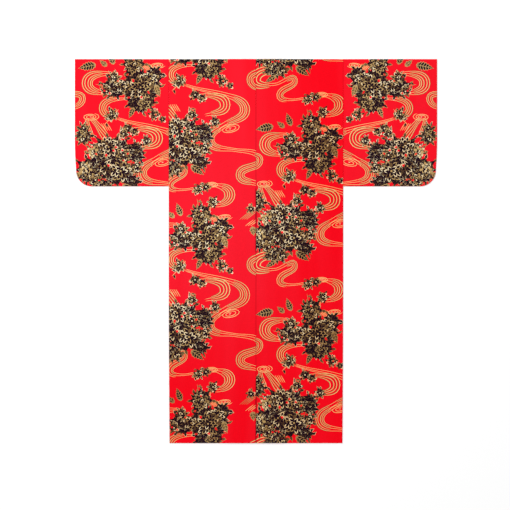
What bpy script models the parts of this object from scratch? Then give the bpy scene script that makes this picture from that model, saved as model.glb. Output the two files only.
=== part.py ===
"""A women's yukata laid flat on a surface, face down with its back up.

Each cut and sewn piece is one closed solid: two body strips that run from the front hem over the shoulder
to the back hem, two overlap panels, the collar band and two sleeves. The cloth is 1 mm thick and the folded
collar 2 mm. All sheets share one plan of triangles, so each layer lies on the one below it without crossing.

Metres, +Z up. The origin is on the surface below the middle of the garment, +Y points to the shoulders and
the wearer's left is at -X.
"""
import math
from collections import defaultdict, namedtuple

import bmesh
import bpy
from mathutils import Vector
from mathutils.geometry import delaunay_2d_cdt

# Driving sizes of the garment
LENGTH = 1.480
BACK_WIDTH = 0.336
SLEEVE_WIDTH = 0.362
SLEEVE_DROP = 0.490
SLEEVE_CORNER_RADIUS = 0.060
SLEEVE_LEAN = 0.005
SLEEVE_LEAN_DEPTH = 0.310
WRIST_OPENING = 0.230
UNDERARM_OPENING_END = 0.380
HEM_TAPER = 0.003
FRONT_WIDTH = 0.285
OVERLAP_WIDTH = 0.155
NECK_HALF_WIDTH = 0.090
COLLAR_END_DEPTH = 0.730
COLLAR_WIDTH_AT_NECK = 0.055
COLLAR_WIDTH_AT_END = 0.075

# Thicknesses, clearances and softness of the cloth
CLOTH = 0.0010
COLLAR_CLOTH = 0.0020
GAP = 0.0003
RIM = 0.0010
FOLD_ROUNDING = 0.0006
STEEPEST_DRAPE = 0.06

# Spacing of the plan
ROW_COUNT = 25
BODY_COLUMNS = 11
SLEEVE_COLUMNS = 10
ROW = LENGTH / ROW_COUNT
COLUMN = BACK_WIDTH / BODY_COLUMNS
SLEEVE_COLUMN = SLEEVE_WIDTH / SLEEVE_COLUMNS
END_CLEARANCE = 0.008
LINE_CLEARANCE = 0.011
ARC_STEPS = 6
SAME_POINT = 1e-6
ONLY_INSIDE_OUTLINES = 1

# Places that follow from the sizes
TOP = LENGTH / 2
HEM = -LENGTH / 2
SLEEVE_SEAM = -BACK_WIDTH - GAP
WRIST = -BACK_WIDTH - SLEEVE_WIDTH
SLEEVE_BOTTOM = TOP - SLEEVE_DROP
FRONT_EDGE = -BACK_WIDTH + FRONT_WIDTH
OVERLAP_EDGE = FRONT_EDGE + OVERLAP_WIDTH
COLLAR_END = TOP - COLLAR_END_DEPTH
COLLAR_SLOPE = (OVERLAP_EDGE - COLLAR_WIDTH_AT_END + NECK_HALF_WIDTH) / COLLAR_END_DEPTH

ROWS = [HEM + ROW * i for i in range(1, ROW_COUNT)]
COLUMNS = [COLUMN * i for i in range(-BODY_COLUMNS, BODY_COLUMNS + 1)]
for column in range(1, SLEEVE_COLUMNS):
    COLUMNS += [side * (BACK_WIDTH + SLEEVE_COLUMN * column) for side in (-1, 1)]

# Soft waves that stand in the back of the garment: centre, half sizes and height
Wave = namedtuple("Wave", "x y half_width half_length height")
WAVES = [
    Wave(-0.214, 0.450, 0.052, 0.265, 0.0020),
    Wave(-0.122, 0.400, 0.040, 0.240, 0.0013),
    Wave(-0.092, -0.060, 0.050, 0.310, 0.0011),
    Wave(-0.244, -0.210, 0.048, 0.290, 0.0015),
    Wave(-0.153, -0.460, 0.056, 0.250, 0.0012),
    Wave(0.122, 0.380, 0.048, 0.300, 0.0013),
    Wave(0.244, 0.300, 0.044, 0.330, 0.0016),
    Wave(0.183, -0.170, 0.055, 0.280, 0.0012),
    Wave(0.092, -0.430, 0.046, 0.260, 0.0014),
    Wave(0.275, -0.480, 0.042, 0.220, 0.0010),
    Wave(-0.445, 0.500, 0.048, 0.190, 0.0014),
    Wave(-0.589, 0.530, 0.052, 0.160, 0.0011),
    Wave(0.408, 0.510, 0.042, 0.200, 0.0012),
    Wave(0.553, 0.490, 0.056, 0.180, 0.0015),
]

# One layer of cloth, and a strip where the layers of a piece are folded or sewn into one
Sheet = namedtuple("Sheet", "piece level thickness outline")
Rim = namedtuple("Rim", "piece outline")

# Levels from the surface up
LOWER_FRONT, UPPER_FRONT, NECK_BAND, BACK = range(4)
BOTTOM, UPPER = 0, 1

RED_COTTON = (0.955, 0.0035, 0.0125, 1.0)
RED_COLLAR = (0.900, 0.0032, 0.0115, 1.0)
COTTON_ROUGHNESS = 0.85
SHARP_ANGLE = math.radians(35)


def down(x_at, y_start, y_end):
    """Points of a line that runs along the garment: its two ends and each row between them."""
    low, high = sorted((y_start, y_end))
    heights = [low] + [y for y in ROWS if low + END_CLEARANCE < y < high - END_CLEARANCE] + [high]
    if y_start > y_end:
        heights.reverse()
    return [(x_at(y), y) for y in heights]


def across(y, x_start, x_end):
    """Points of a level line: its two ends and each column between them."""
    low, high = sorted((x_start, x_end))
    places = [low] + sorted(x for x in COLUMNS if low + END_CLEARANCE < x < high - END_CLEARANCE) + [high]
    if x_start > x_end:
        places.reverse()
    return [(x, y) for x in places]


def outline(*lines):
    """One counter-clockwise loop from lines that meet end to end."""
    loop = []
    for point in (p for line in lines for p in line):
        if not loop or math.dist(point, loop[-1]) > SAME_POINT:
            loop.append(point)
    if math.dist(loop[0], loop[-1]) < SAME_POINT:
        loop.pop()
    area = sum(a[0] * b[1] - b[0] * a[1] for a, b in zip(loop, loop[1:] + loop[:1]))
    return loop if area > 0 else loop[::-1]


def mirrored(loop):
    """The same loop on the garment's other side."""
    return outline([(-x, y) for x, y in loop])


def side_seam(inset=0.0):
    """Left side of the body, which draws in a little towards the hem."""
    return lambda y: -BACK_WIDTH + HEM_TAPER * (max(0.0, -y) / TOP) ** 2 + inset


def collar_seam(inset=0.0):
    """Line where the left side of the collar is sewn to the front and the overlap."""
    return lambda y: -NECK_HALF_WIDTH + COLLAR_SLOPE * (TOP - y) + inset


def collar_free_edge(y):
    """Inner edge of the collar's left side, which widens from the neck to its end."""
    share = (TOP - y) / COLLAR_END_DEPTH
    width = COLLAR_WIDTH_AT_NECK + (COLLAR_WIDTH_AT_END - COLLAR_WIDTH_AT_NECK) * share
    return collar_seam()(y) + width


def depth_on_seam(x, inset=0.0):
    """Height on the collar seam at which it stands at x."""
    return TOP - (x - inset + NECK_HALF_WIDTH) / COLLAR_SLOPE


def sleeve_outer_line(y_start, inset=0.0):
    """Outer edge of the left sleeve from y_start down, round its corner and along the bottom to the seam."""
    radius = SLEEVE_CORNER_RADIUS - inset
    corner = (WRIST + SLEEVE_LEAN + SLEEVE_CORNER_RADIUS, SLEEVE_BOTTOM + SLEEVE_CORNER_RADIUS)
    lean_start = TOP - SLEEVE_LEAN_DEPTH

    def edge(y):
        share = min(1.0, max(0.0, (lean_start - y) / (lean_start - corner[1])))
        return WRIST + SLEEVE_LEAN * share ** 2 + inset

    turns = [math.pi + math.pi / 2 * i / ARC_STEPS for i in range(ARC_STEPS + 1)]
    arc = [(corner[0] + radius * math.cos(a), corner[1] + radius * math.sin(a)) for a in turns]
    return down(edge, y_start, corner[1]) + arc + across(SLEEVE_BOTTOM + inset, corner[0], SLEEVE_SEAM)


def sleeve_outline():
    """Left sleeve, front and back alike."""
    top = across(TOP, SLEEVE_SEAM, WRIST)
    return outline(top, sleeve_outer_line(TOP), down(lambda y: SLEEVE_SEAM, SLEEVE_BOTTOM, TOP))


def back_outline():
    """Left half of the back, from the shoulder fold to the hem."""
    centre = -GAP / 2
    return outline(
        across(TOP, centre, -NECK_HALF_WIDTH - GAP),
        across(TOP, -NECK_HALF_WIDTH - GAP, side_seam()(TOP)),
        down(side_seam(), TOP, HEM),
        across(HEM, side_seam()(HEM), centre),
        down(lambda y: centre, HEM, TOP),
    )


def front_outline():
    """Left front, from the shoulder fold to the hem, cut along the collar seam at the neck."""
    tip = depth_on_seam(FRONT_EDGE, -GAP)
    return outline(
        across(TOP, collar_seam(-GAP)(TOP), side_seam()(TOP)),
        down(side_seam(), TOP, HEM),
        across(HEM, side_seam()(HEM), FRONT_EDGE),
        down(lambda y: FRONT_EDGE, HEM, tip),
        down(collar_seam(-GAP), tip, TOP),
    )


def overlap_outline():
    """Left overlap panel, from its pointed tip at the collar seam to the hem."""
    inner = FRONT_EDGE + GAP
    tip = depth_on_seam(inner, -GAP)
    below_collar = COLLAR_END - GAP
    return outline(
        down(collar_seam(-GAP), tip, below_collar),
        across(below_collar, collar_seam(-GAP)(below_collar), OVERLAP_EDGE),
        down(lambda y: OVERLAP_EDGE, below_collar, HEM),
        across(HEM, OVERLAP_EDGE, inner),
        down(lambda y: inner, HEM, tip),
    )


def collar_leg_outline():
    """Left side of the collar, from the shoulder down to its end."""
    return outline(
        across(TOP, collar_free_edge(TOP), collar_seam()(TOP)),
        down(collar_seam(), TOP, COLLAR_END),
        across(COLLAR_END, collar_seam()(COLLAR_END), collar_free_edge(COLLAR_END)),
        down(collar_free_edge, COLLAR_END, TOP),
    )


def neck_band_outline():
    """Part of the collar behind the neck, turned down inside the back."""
    left, fold = collar_seam()(TOP), collar_free_edge(TOP)
    lower = TOP - COLLAR_WIDTH_AT_NECK
    return outline(
        across(TOP, -left, -fold),
        across(TOP, -fold, fold),
        across(TOP, fold, left),
        down(lambda y: left, TOP, lower),
        across(lower, left, -left),
        down(lambda y: -left, lower, TOP),
    )


def level_rim(x_start, x_end):
    """Folded strip along the top edge."""
    return outline(across(TOP, x_start, x_end), across(TOP - RIM, x_end, x_start))


def garment_sheets():
    """Every layer of cloth, from the surface up."""
    sleeve, front, overlap = sleeve_outline(), front_outline(), overlap_outline()
    collar_leg, back = collar_leg_outline(), back_outline()
    return [
        Sheet("sleeve_left", LOWER_FRONT, CLOTH, sleeve),
        Sheet("sleeve_right", LOWER_FRONT, CLOTH, mirrored(sleeve)),
        Sheet("body_left", LOWER_FRONT, CLOTH, front),
        Sheet("overlap_left", LOWER_FRONT, CLOTH, overlap),
        Sheet("collar", LOWER_FRONT, COLLAR_CLOTH, collar_leg),
        Sheet("body_right", UPPER_FRONT, CLOTH, mirrored(front)),
        Sheet("overlap_right", UPPER_FRONT, CLOTH, mirrored(overlap)),
        Sheet("collar", UPPER_FRONT, COLLAR_CLOTH, mirrored(collar_leg)),
        Sheet("collar", NECK_BAND, COLLAR_CLOTH, neck_band_outline()),
        Sheet("sleeve_left", BACK, CLOTH, sleeve),
        Sheet("sleeve_right", BACK, CLOTH, mirrored(sleeve)),
        Sheet("body_left", BACK, CLOTH, back),
        Sheet("body_right", BACK, CLOTH, mirrored(back)),
    ]


def garment_rims():
    """Strips where a piece's layers are one: shoulder folds, side seams, sleeve edges and collar folds."""
    sewn_from = TOP - UNDERARM_OPENING_END
    wrist_end = TOP - WRIST_OPENING
    left_strips = [
        ("sleeve", level_rim(SLEEVE_SEAM, WRIST)),
        ("sleeve", outline(sleeve_outer_line(wrist_end), sleeve_outer_line(wrist_end, RIM)[::-1])),
        ("body", level_rim(-NECK_HALF_WIDTH - GAP, -BACK_WIDTH)),
        ("body", outline(down(side_seam(), sewn_from, HEM), down(side_seam(RIM), HEM, sewn_from))),
        ("collar", level_rim(collar_free_edge(TOP), collar_seam()(TOP))),
    ]
    rims = []
    for piece, strip in left_strips:
        names = ("collar", "collar") if piece == "collar" else (f"{piece}_left", f"{piece}_right")
        rims.append(Rim(names[0], strip))
        rims.append(Rim(names[1], mirrored(strip)))
    return rims


def distance_to_line(point, start, end):
    """Distance in the plan from a point to a straight stretch."""
    run = (end[0] - start[0], end[1] - start[1])
    along = ((point[0] - start[0]) * run[0] + (point[1] - start[1]) * run[1]) / (run[0] ** 2 + run[1] ** 2)
    along = min(1.0, max(0.0, along))
    return math.dist(point, (start[0] + run[0] * along, start[1] + run[1] * along))


def inner_points(loops):
    """Row and column crossings that lie clear of every outline."""
    lines = [pair for loop in loops for pair in zip(loop, loop[1:] + loop[:1])]
    sleeve_reach = SLEEVE_BOTTOM + LINE_CLEARANCE
    points = []
    for x in COLUMNS:
        for y in ROWS:
            if abs(x) > BACK_WIDTH and y < sleeve_reach:
                continue
            if all(distance_to_line((x, y), start, end) > LINE_CLEARANCE for start, end in lines):
                points.append((x, y))
    return points


class Plan:
    """One plan of triangles for all layers, with the sheets and rims that cover each triangle."""

    def __init__(self, sheets, rims):
        loops = [part.outline for part in sheets + rims]
        points, faces = [], []
        for loop in loops:
            faces.append(list(range(len(points), len(points) + len(loop))))
            points += loop
        points += inner_points(loops)
        flat = [Vector(point) for point in points]
        placed, edges, triangles, _, _, sources = delaunay_2d_cdt(
            flat, [], faces, ONLY_INSIDE_OUTLINES, SAME_POINT)
        self.points = [tuple(point) for point in placed]
        self.edges = edges
        self.triangles = triangles
        self.sheets = [sorted(s for s in source if s < len(sheets)) for source in sources]
        self.rims = [{rims[s - len(sheets)].piece for s in source if s >= len(sheets)} for source in sources]

    def vertices_of(self, sheet):
        """Plan points that a sheet covers."""
        return {v for triangle, covers in zip(self.triangles, self.sheets) if sheet in covers for v in triangle}


def wave_height(x, y):
    """Rise of the soft waves at a place on the back."""
    rise = 0.0
    for wave in WAVES:
        u, v = abs(x - wave.x) / wave.half_width, abs(y - wave.y) / wave.half_length
        if u < 1.0 and v < 1.0:
            rise += wave.height * math.cos(math.pi / 2 * u) ** 2 * math.cos(math.pi / 2 * v) ** 2
    return rise


def drape(plan, heights):
    """Raise the points beside a step, so that the cloth above it slopes off and doesn't hang over an edge."""
    settled = False
    while not settled:
        settled = True
        for a, b in plan.edges:
            fall = STEEPEST_DRAPE * math.dist(plan.points[a], plan.points[b])
            for high, low in ((a, b), (b, a)):
                if heights[high] - fall > heights[low] + SAME_POINT:
                    heights[low] = heights[high] - fall
                    settled = False


def stack(plan, sheets):
    """Under and upper side of every sheet at each plan point that it covers."""
    resting = [0.0] * len(plan.points)
    sides = {}
    for level in range(BACK + 1):
        covered = [(index, v) for index, sheet in enumerate(sheets) if sheet.level == level
                   for v in plan.vertices_of(index)]
        for index, v in covered:
            lift = wave_height(*plan.points[v]) if level == BACK else 0.0
            low = resting[v] + lift
            sides[index, v] = [low, low + sheets[index].thickness]
        for index, v in covered:
            resting[v] = max(resting[v], sides[index, v][UPPER] + GAP)
        drape(plan, resting)
    return sides


def layers_at(covers, joined):
    """Solid stretches of one triangle from the surface up, each as its lower and upper side."""
    stretches = []
    for place, sheet in enumerate(covers):
        if place and joined:
            stretches.append(((covers[place - 1], UPPER), (sheet, BOTTOM)))
        stretches.append(((sheet, BOTTOM), (sheet, UPPER)))
    return stretches


def piece_faces(plan, sheets, name):
    """Faces of one piece, each corner a plan point with the side of a sheet, and its outer folded points."""
    own = {index for index, sheet in enumerate(sheets) if sheet.piece == name}
    faces, walls, folded = [], defaultdict(list), set()
    for triangle, all_covers, rims in zip(plan.triangles, plan.sheets, plan.rims):
        covers = [sheet for sheet in all_covers if sheet in own]
        if not covers:
            continue
        joined = name in rims and len(covers) > 1
        tops = [(covers[-1], UPPER)] if joined else [(sheet, UPPER) for sheet in covers]
        bases = [(covers[0], BOTTOM)] if joined else [(sheet, BOTTOM) for sheet in covers]
        faces += [[(v, side) for v in triangle] for side in tops]
        faces += [[(v, side) for v in reversed(triangle)] for side in bases]
        for a, b in zip(triangle, triangle[1:] + triangle[:1]):
            walls[min(a, b), max(a, b)].append(((a, b), layers_at(covers, joined), joined))
    for beside in walls.values():
        for place, ((a, b), stretches, joined) in enumerate(beside):
            other = beside[1 - place][1] if len(beside) == 2 else []
            for low, high in stretches:
                if (low, high) not in other:
                    faces.append([(a, low), (b, low), (b, high), (a, high)])
            if joined and not other:
                folded |= {(a, stretches[-1][1]), (b, stretches[-1][1])}
    return faces, folded


def cotton(name, colour):
    """Plain dyed cotton."""
    material = bpy.data.materials.new(name)
    material.use_nodes = True
    shader = material.node_tree.nodes["Principled BSDF"]
    shader.inputs["Base Color"].default_value = colour
    shader.inputs["Roughness"].default_value = COTTON_ROUGHNESS
    shader.inputs["Metallic"].default_value = 0.0
    return material


def build_piece(name, plan, sheets, sides, collection):
    """One cut and sewn piece as a closed solid with its own material."""
    faces, folded = piece_faces(plan, sheets, name)
    mesh = bmesh.new()
    corners = {}
    for face in faces:
        for v, (sheet, side) in face:
            if (v, sheet, side) in corners:
                continue
            height = sides[sheet, v][side]
            if (v, (sheet, side)) in folded:
                height -= FOLD_ROUNDING
            corners[v, sheet, side] = mesh.verts.new((*plan.points[v], height))
    for face in faces:
        mesh.faces.new([corners[v, sheet, side] for v, (sheet, side) in face])
    bmesh.ops.triangulate(mesh, faces=[face for face in mesh.faces if len(face.verts) > 3])
    data = bpy.data.meshes.new(name)
    mesh.to_mesh(data)
    mesh.free()
    data.materials.append(cotton(f"{name}_cotton", RED_COLLAR if name == "collar" else RED_COTTON))
    data.shade_smooth()
    data.set_sharp_from_angle(angle=SHARP_ANGLE)
    piece = bpy.data.objects.new(name, data)
    collection.objects.link(piece)
    return piece


def main():
    for old in list(bpy.data.objects):
        bpy.data.objects.remove(old)
    collection = bpy.data.collections.new("yukata")
    bpy.context.scene.collection.children.link(collection)
    sheets, rims = garment_sheets(), garment_rims()
    plan = Plan(sheets, rims)
    sides = stack(plan, sheets)
    for name in dict.fromkeys(sheet.piece for sheet in sheets):
        build_piece(name, plan, sheets, sides, collection)


main()
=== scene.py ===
"""A women's cotton yukata laid flat with its back up, dressed around its fixed frame.

Each cut and sewn piece is a thin closed shell of cloth. Its print of peony sprays and flowing water is laid
out on the flat cloth first, as coloured regions of the mesh, and the cloth is then put in place over its
solid: the back on top, the front underneath, joined by the shoulder fold.

Metres, +Z up. The flat cloth has x across and w along it: w is 0 at the shoulder fold, below 0 on the back
and above 0 on the front, so a region drawn there faces out of the garment on both sides of the fold.
"""
import logging
import math
import random
from collections.abc import Callable
from dataclasses import dataclass, field, replace
from enum import Enum

import bpy
import numpy as np
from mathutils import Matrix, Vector
from mathutils.bvhtree import BVHTree
from mathutils.geometry import delaunay_2d_cdt


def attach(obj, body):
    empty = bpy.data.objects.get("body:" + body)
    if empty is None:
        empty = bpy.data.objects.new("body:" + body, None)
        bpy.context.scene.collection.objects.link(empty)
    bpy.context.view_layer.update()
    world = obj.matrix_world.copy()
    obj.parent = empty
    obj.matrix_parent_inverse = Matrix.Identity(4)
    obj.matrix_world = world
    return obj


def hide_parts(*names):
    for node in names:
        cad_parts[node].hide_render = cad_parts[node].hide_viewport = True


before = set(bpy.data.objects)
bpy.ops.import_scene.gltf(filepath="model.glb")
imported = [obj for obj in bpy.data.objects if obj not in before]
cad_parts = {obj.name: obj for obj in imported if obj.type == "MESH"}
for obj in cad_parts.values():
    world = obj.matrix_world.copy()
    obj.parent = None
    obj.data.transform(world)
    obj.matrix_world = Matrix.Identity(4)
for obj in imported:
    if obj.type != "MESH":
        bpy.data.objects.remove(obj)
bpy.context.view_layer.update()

log = logging.getLogger("yukata")

Point = tuple[float, float]

# Sizes of the garment, as in its solids
LENGTH = 1.480
TOP = LENGTH / 2
BACK_WIDTH = 0.336
FRONT_WIDTH = 0.285
OVERLAP_WIDTH = 0.155
SLEEVE_WIDTH = 0.362
SLEEVE_DROP = 0.490
SLEEVE_CORNER_RADIUS = 0.060
SLEEVE_LEAN = 0.005
SLEEVE_LEAN_DEPTH = 0.310
WRIST_OPENING = 0.230
UNDERARM_OPENING_END = 0.380
HEM_TAPER = 0.003
NECK_HALF_WIDTH = 0.090
COLLAR_LENGTH = 0.730
COLLAR_WIDTH_AT_NECK = 0.055
COLLAR_WIDTH_AT_END = 0.075
PIECE_GAP = 0.0003
FRONT_EDGE = -BACK_WIDTH + FRONT_WIDTH
OVERLAP_EDGE = FRONT_EDGE + OVERLAP_WIDTH
SLEEVE_SEAM = -BACK_WIDTH - PIECE_GAP
WRIST = -BACK_WIDTH - SLEEVE_WIDTH
COLLAR_SLOPE = (OVERLAP_EDGE - COLLAR_WIDTH_AT_END + NECK_HALF_WIDTH) / COLLAR_LENGTH

# The cloth as it shows, thinner than its solids so that no layer touches the next
CLOTH = 0.0007
COLLAR_CLOTH = 0.0016
FOLD_RUN = 0.0020
FOLD_REACH = 0.0012
NECK_EDGE = 0.0013
NECK_BLEND = 0.012
RIM_BULGE = 0.0001
EDGE_ROWS = (0.0011, 0.0027)

# Spacing of the meshes and of the height samples
EDGE_STEP = 0.009
RELIEF_STEP = 0.010
RELIEF_CLEARANCE = 0.005
LINING_STEP = 0.020
SAMPLE_STEP = 0.008
SAMPLE_INSET = 0.004
SMOOTHING_PASSES = 4
SAME_PLACE = 1e-6
EXACT_PLACE = 1e-9
SHARPEST_CORNER = 0.5
PROBE_HEIGHT = 0.1
GRID_END = 1.0001
CUT_OVERRUN = 0.001
LINING_INSET = 0.002
FOLD_SHARES = (-1.0, -0.5, 0.0, 0.5, 1.0)
DEEPEST_SHARE = 0.9
SIDE_STEPS = 12
CORNER_STEPS = 10
STITCH_LINE_STEP = 0.004
STITCH_DEPTH = 0.00005
FRONT_STITCH_DEPTH = 0.0002
HEM_ROW = 0.018
WRIST_ROW = 0.010
ROW_INSET = 0.004
WRIST_ROW_START = 0.006
FREE_EDGE_START = 0.010
ONLY_INSIDE = 1

# Layout of the bake's image, in metres before it is scaled
BAKE_MARGIN = 0.002
TILE_GAP = 0.004
BAND_GAP = 0.006
RIM_BAND = 0.005
REVERSE_SCALE = 0.25
REVERSE_WIDTH = 0.95

# Painted sheen that pales the cloth: its strength at some places across, and its share at some heights
SLEEVE_SHEEN_START = 0.004
SHEEN_ACROSS = ((WRIST, -0.10, 0.0, 0.10, 0.20, -SLEEVE_SEAM, -SLEEVE_SEAM + SLEEVE_SHEEN_START),
               (0.50, 1.0, 0.80, 0.42, 0.10, 0.06, 0.52))
SHEEN_ALONG = ((-0.55, -0.38, -0.15, 0.10, 0.35, TOP), (0.05, 0.30, 0.80, 1.0, 0.9, 0.66))

# The print's drawing: one unit is 3.852 mm, x is counted from the wearer's left and y down the back
UNIT = 0.003852
MIDDLE_UNIT = 256.0
SHOULDER_UNIT = 59.0
REPEAT = 185.0
REPEAT_ROWS = range(-5, 6)
MOTIF_REACH = 45.0
FRONT_GROWTH = 3.0
HIDING_SHARE = 0.96
LINE_STEP = 2.8
TAPER_RUN = 3.0
TAPER_LEAST = 0.3
SHORTEST = 1e-9
TURN = 2 * math.pi

# Water: its bends, the width and sway of its lines, its eddies and its short slanted lines
BEND_FULLNESS = 1.1
LEAST_SAMPLES = 4
LINE_SHARE = 0.27
LINE_RANGE = (0.38, 0.74)
MERGE_ROOM = 1.35
SHADOW_LINE = 0.42
SHADOW_SHIFT = 0.24
SWAY_SHARE = 0.18
SWAY_RUN = 5.0
SWAY_RUN_SPREAD = 3
SWAY_START = 6.3
EDDY_LINE = 0.52
EDDY_TURNS = 2.4
EDDY_TURN_SAMPLES = 13
EDDY_DEPTH = 0.72
EDDY_POWER = 0.85
EDDY_FLECK = np.array([(-1.1, 0.0), (0.0, -0.35), (1.2, 0.0), (0.0, 0.35)])
HATCH_WIDTHS = np.array([0.3, 0.6, 0.3])

# Small pointed leaves, and the sprigs that carry them
POINTED_WIDEST = 0.40
POINTED_END_MARGIN, POINTED_END_ROOM = 1.0, 1
POINTED_SIDE_MARGIN, POINTED_SIDE_ROOM = 0.6, 0.5
POINTED_SHIFT = 0.25
SPRIG_STEM = 0.5
SPRIG_START = 0.6
SPRIG_SPREAD = 0.9
SPRIG_TURN = (-0.3, 0.3)
SPRIG_SIZE = (0.85, 1.25)
SPRIG_LENGTH, SPRIG_WIDTH = 2.6, 1.3

# Blooms: shares of the radius for the disc and its leaf tips, and of a petal's size for the petals
LEAST_POINTS = 6
RIM_POINTS = 1.1
RIM_NOTCH = (0.70, 0.84)
RIM_POINT = (0.92, 1.14)
TIP_COUNT = 0.75
TIP_REACH = 0.76
TIP_JOG = (-0.35, 0.35)
TIP_TURN = (-0.6, 0.6)
TIP_LENGTH = (0.50, 0.85)
TIP_LONGEST = 5.0
TIP_WIDTH = (1.8, 2.8)
PETAL_SPACING = 0.53
PETALS_REACH = 0.94
PETAL_LENGTH = (0.95, 1.30)
PETAL_WIDTH = (0.80, 1.05)
PETAL_TURN = (-0.45, 0.45)
PETAL_LEAN = (-0.16, 0.16)
PETAL_END = ((-0.28, -0.48), (0.24, -0.44), (0.62, 0.0), (0.24, 0.44), (-0.28, 0.48))
PETAL_NOTCH = 0.58
PETAL_FOOT = -0.5
EDGE_LINE = 0.37
EDGE_SPREAD = (0.8, 1.4)
EDGE_DEPTH = 1.6
HEART_SHARE = 0.30
HEART_CORNERS = 5
GOLDEN_ANGLE = 2.39996
SEED_STEP, RADIUS_STEP = 977, 10

# Thickets: shares of an oval's half sizes for its edge, and of a leaf's size for the leaves on it
LEAST_OVAL_POINTS = 5
OVAL_POINTS = 0.35
OVAL_NOTCH = (0.66, 0.86)
OVAL_POINT = (0.92, 1.20)
CELL_JOG = 0.22
ROW_PACE = 0.86
POINT_TURN = (-1.0, 1.0)
POINT_LENGTH = (1.0, 1.35)
POINT_WIDTH = (0.75, 1.0)
POINT_FOOT, POINT_SIDE, POINT_TIP = -0.45, 0.48, 0.60
POINT_NOTCH = (0.7, 1.2)
EDGE_LEAF_INSET = 1.8
EDGE_LEAF_LENGTH = (3.8, 6.4)
EDGE_LEAF_WIDTH = (2.4, 3.6)

# Large leaves: shares of the blade's length and width
BLADE_PEAK = 2.745
BLADE_FOOT_POWER, BLADE_TIP_POWER = 0.6, 0.9
BLADE_END = 1.08
BLADE_END_MARGIN, BLADE_SIDE_MARGIN = 1.4, 1.1
TOOTH_STEP = 2.8
LEAST_TEETH = 3
TEETH_ROOM = 0.4
TOOTH_TIP, TOOTH_NOTCH = 0.62, 0.86
TOOTH_OUT = (1.10, 1.30)
TOOTH_IN = (0.72, 0.86)
MIDRIB = ((-0.5, 0.0), (0.40, 0.0))
LEAF_SEED_STEPS = (31, 17)
VEIN_FOOT, VEIN_RUN, VEIN_REACH = 0.5, 0.62, 0.85
RIB_LINE = 0.50


class Dye(Enum):
    """Dyes of the cloth, in the order of its material slots."""

    GROUND = 0
    PLUM = 1
    CREAM = 2
    GOLD = 3
    OLIVE = 4
    WATER = 5
    REVERSE = 6


LEAF_FILLS = (Dye.PLUM, Dye.OLIVE)


@dataclass(frozen=True)
class Patch:
    """One coloured region of the print, as a loop of places in drawing units."""

    dye: Dye
    loop: np.ndarray


def soft_step(share: np.ndarray) -> np.ndarray:
    """Smooth rise from 0 to 1."""
    share = np.clip(share, 0, 1)
    return share * share * (3 - 2 * share)


def smooth_line(points: list[Point]) -> np.ndarray:
    """Samples a smooth line through guide points.

    Args:
        points: The guide points, in order.

    Returns:
        The samples, one row each.
    """
    guide = np.array(points, float)
    padded = np.vstack([2 * guide[0] - guide[1], guide, 2 * guide[-1] - guide[-2]])
    samples = []
    for i in range(len(guide) - 1):
        before, start, end, after = padded[i:i + 4]
        count = max(1, math.ceil(np.linalg.norm(end - start) / LINE_STEP))
        t = (np.arange(count) / count)[:, None]
        samples.append(0.5 * (2 * start + (end - before) * t
                              + (2 * before - 5 * start + 4 * end - after) * t ** 2
                              + (3 * start - before - 3 * end + after) * t ** 3))
    samples.append(guide[-1:])
    return np.vstack(samples)


def stroke(line: np.ndarray, widths: np.ndarray | float) -> np.ndarray:
    """Draws a line with a width.

    Args:
        line: The line's samples.
        widths: The width at each sample, or all along.

    Returns:
        The loop round the drawn line.
    """
    ahead = np.gradient(line, axis=0)
    ahead /= np.maximum(np.linalg.norm(ahead, axis=1, keepdims=True), SHORTEST)
    side = np.column_stack([-ahead[:, 1], ahead[:, 0]]) * (np.asarray(widths) / 2).reshape(-1, 1)
    return np.vstack([line + side, (line - side)[::-1]])


def tapered(line: np.ndarray, width: float) -> np.ndarray:
    """Thins a line towards both its ends.

    Args:
        line: The line's samples.
        width: Its full width.

    Returns:
        The width at each sample.
    """
    along = np.concatenate([[0.0], np.cumsum(np.linalg.norm(np.diff(line, axis=0), axis=1))])
    nearest = np.minimum(along, along[-1] - along)
    return width * (TAPER_LEAST + (1 - TAPER_LEAST) * np.minimum(1.0, nearest / TAPER_RUN))


def turned(loop: np.ndarray, angle: float, x: float, y: float) -> np.ndarray:
    """A loop turned about the origin by an angle in radians and moved to x, y."""
    c, s = math.cos(angle), math.sin(angle)
    return loop @ np.array([[c, s], [-s, c]]) + (x, y)


def inside(loop: np.ndarray, points: np.ndarray) -> np.ndarray:
    """Finds which points lie inside a loop.

    Args:
        loop: The loop's corners.
        points: The points to test.

    Returns:
        True for each point inside.
    """
    x, y = points[:, 0], points[:, 1]
    crossings = np.zeros(len(points), int)
    for (x0, y0), (x1, y1) in zip(loop, np.roll(loop, -1, axis=0)):
        spans = (y0 > y) != (y1 > y)
        with np.errstate(divide="ignore", invalid="ignore"):
            crossing = x < (x1 - x0) * (y - y0) / (y1 - y0) + x0
        crossings += spans & crossing
    return crossings % 2 == 1


def drawn(motifs: list, growth: float = 1.0) -> list[Patch]:
    """Draws some motifs, the later ones over the earlier ones.

    Args:
        motifs: The motifs, from the lowest to the topmost.
        growth: How much larger the blooms' petals and the thickets' leaves are drawn.

    Returns:
        Their regions, less those that a later bloom hides.
    """
    motifs = [replace(motif, cell=motif.cell * growth) if isinstance(motif, (Bloom, Thicket)) else motif
              for motif in motifs]
    regions = []
    for index, motif in enumerate(motifs):
        hiders = [later for later in motifs[index + 1:] if isinstance(later, Bloom)]
        for patch in motif.patches():
            reaches = [np.linalg.norm(patch.loop - (bloom.x, bloom.y), axis=1).max() / bloom.radius
                       for bloom in hiders]
            if not reaches or min(reaches) > HIDING_SHARE:
                regions.append(patch)
    return regions


@dataclass(frozen=True)
class Bend:
    """A place that a stream passes: which way it flows there, in degrees, and how wide it is."""

    x: float
    y: float
    heading: float
    width: float

    def way(self) -> np.ndarray:
        """The direction of the flow."""
        return np.array((math.cos(math.radians(self.heading)), math.sin(math.radians(self.heading))))


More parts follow.
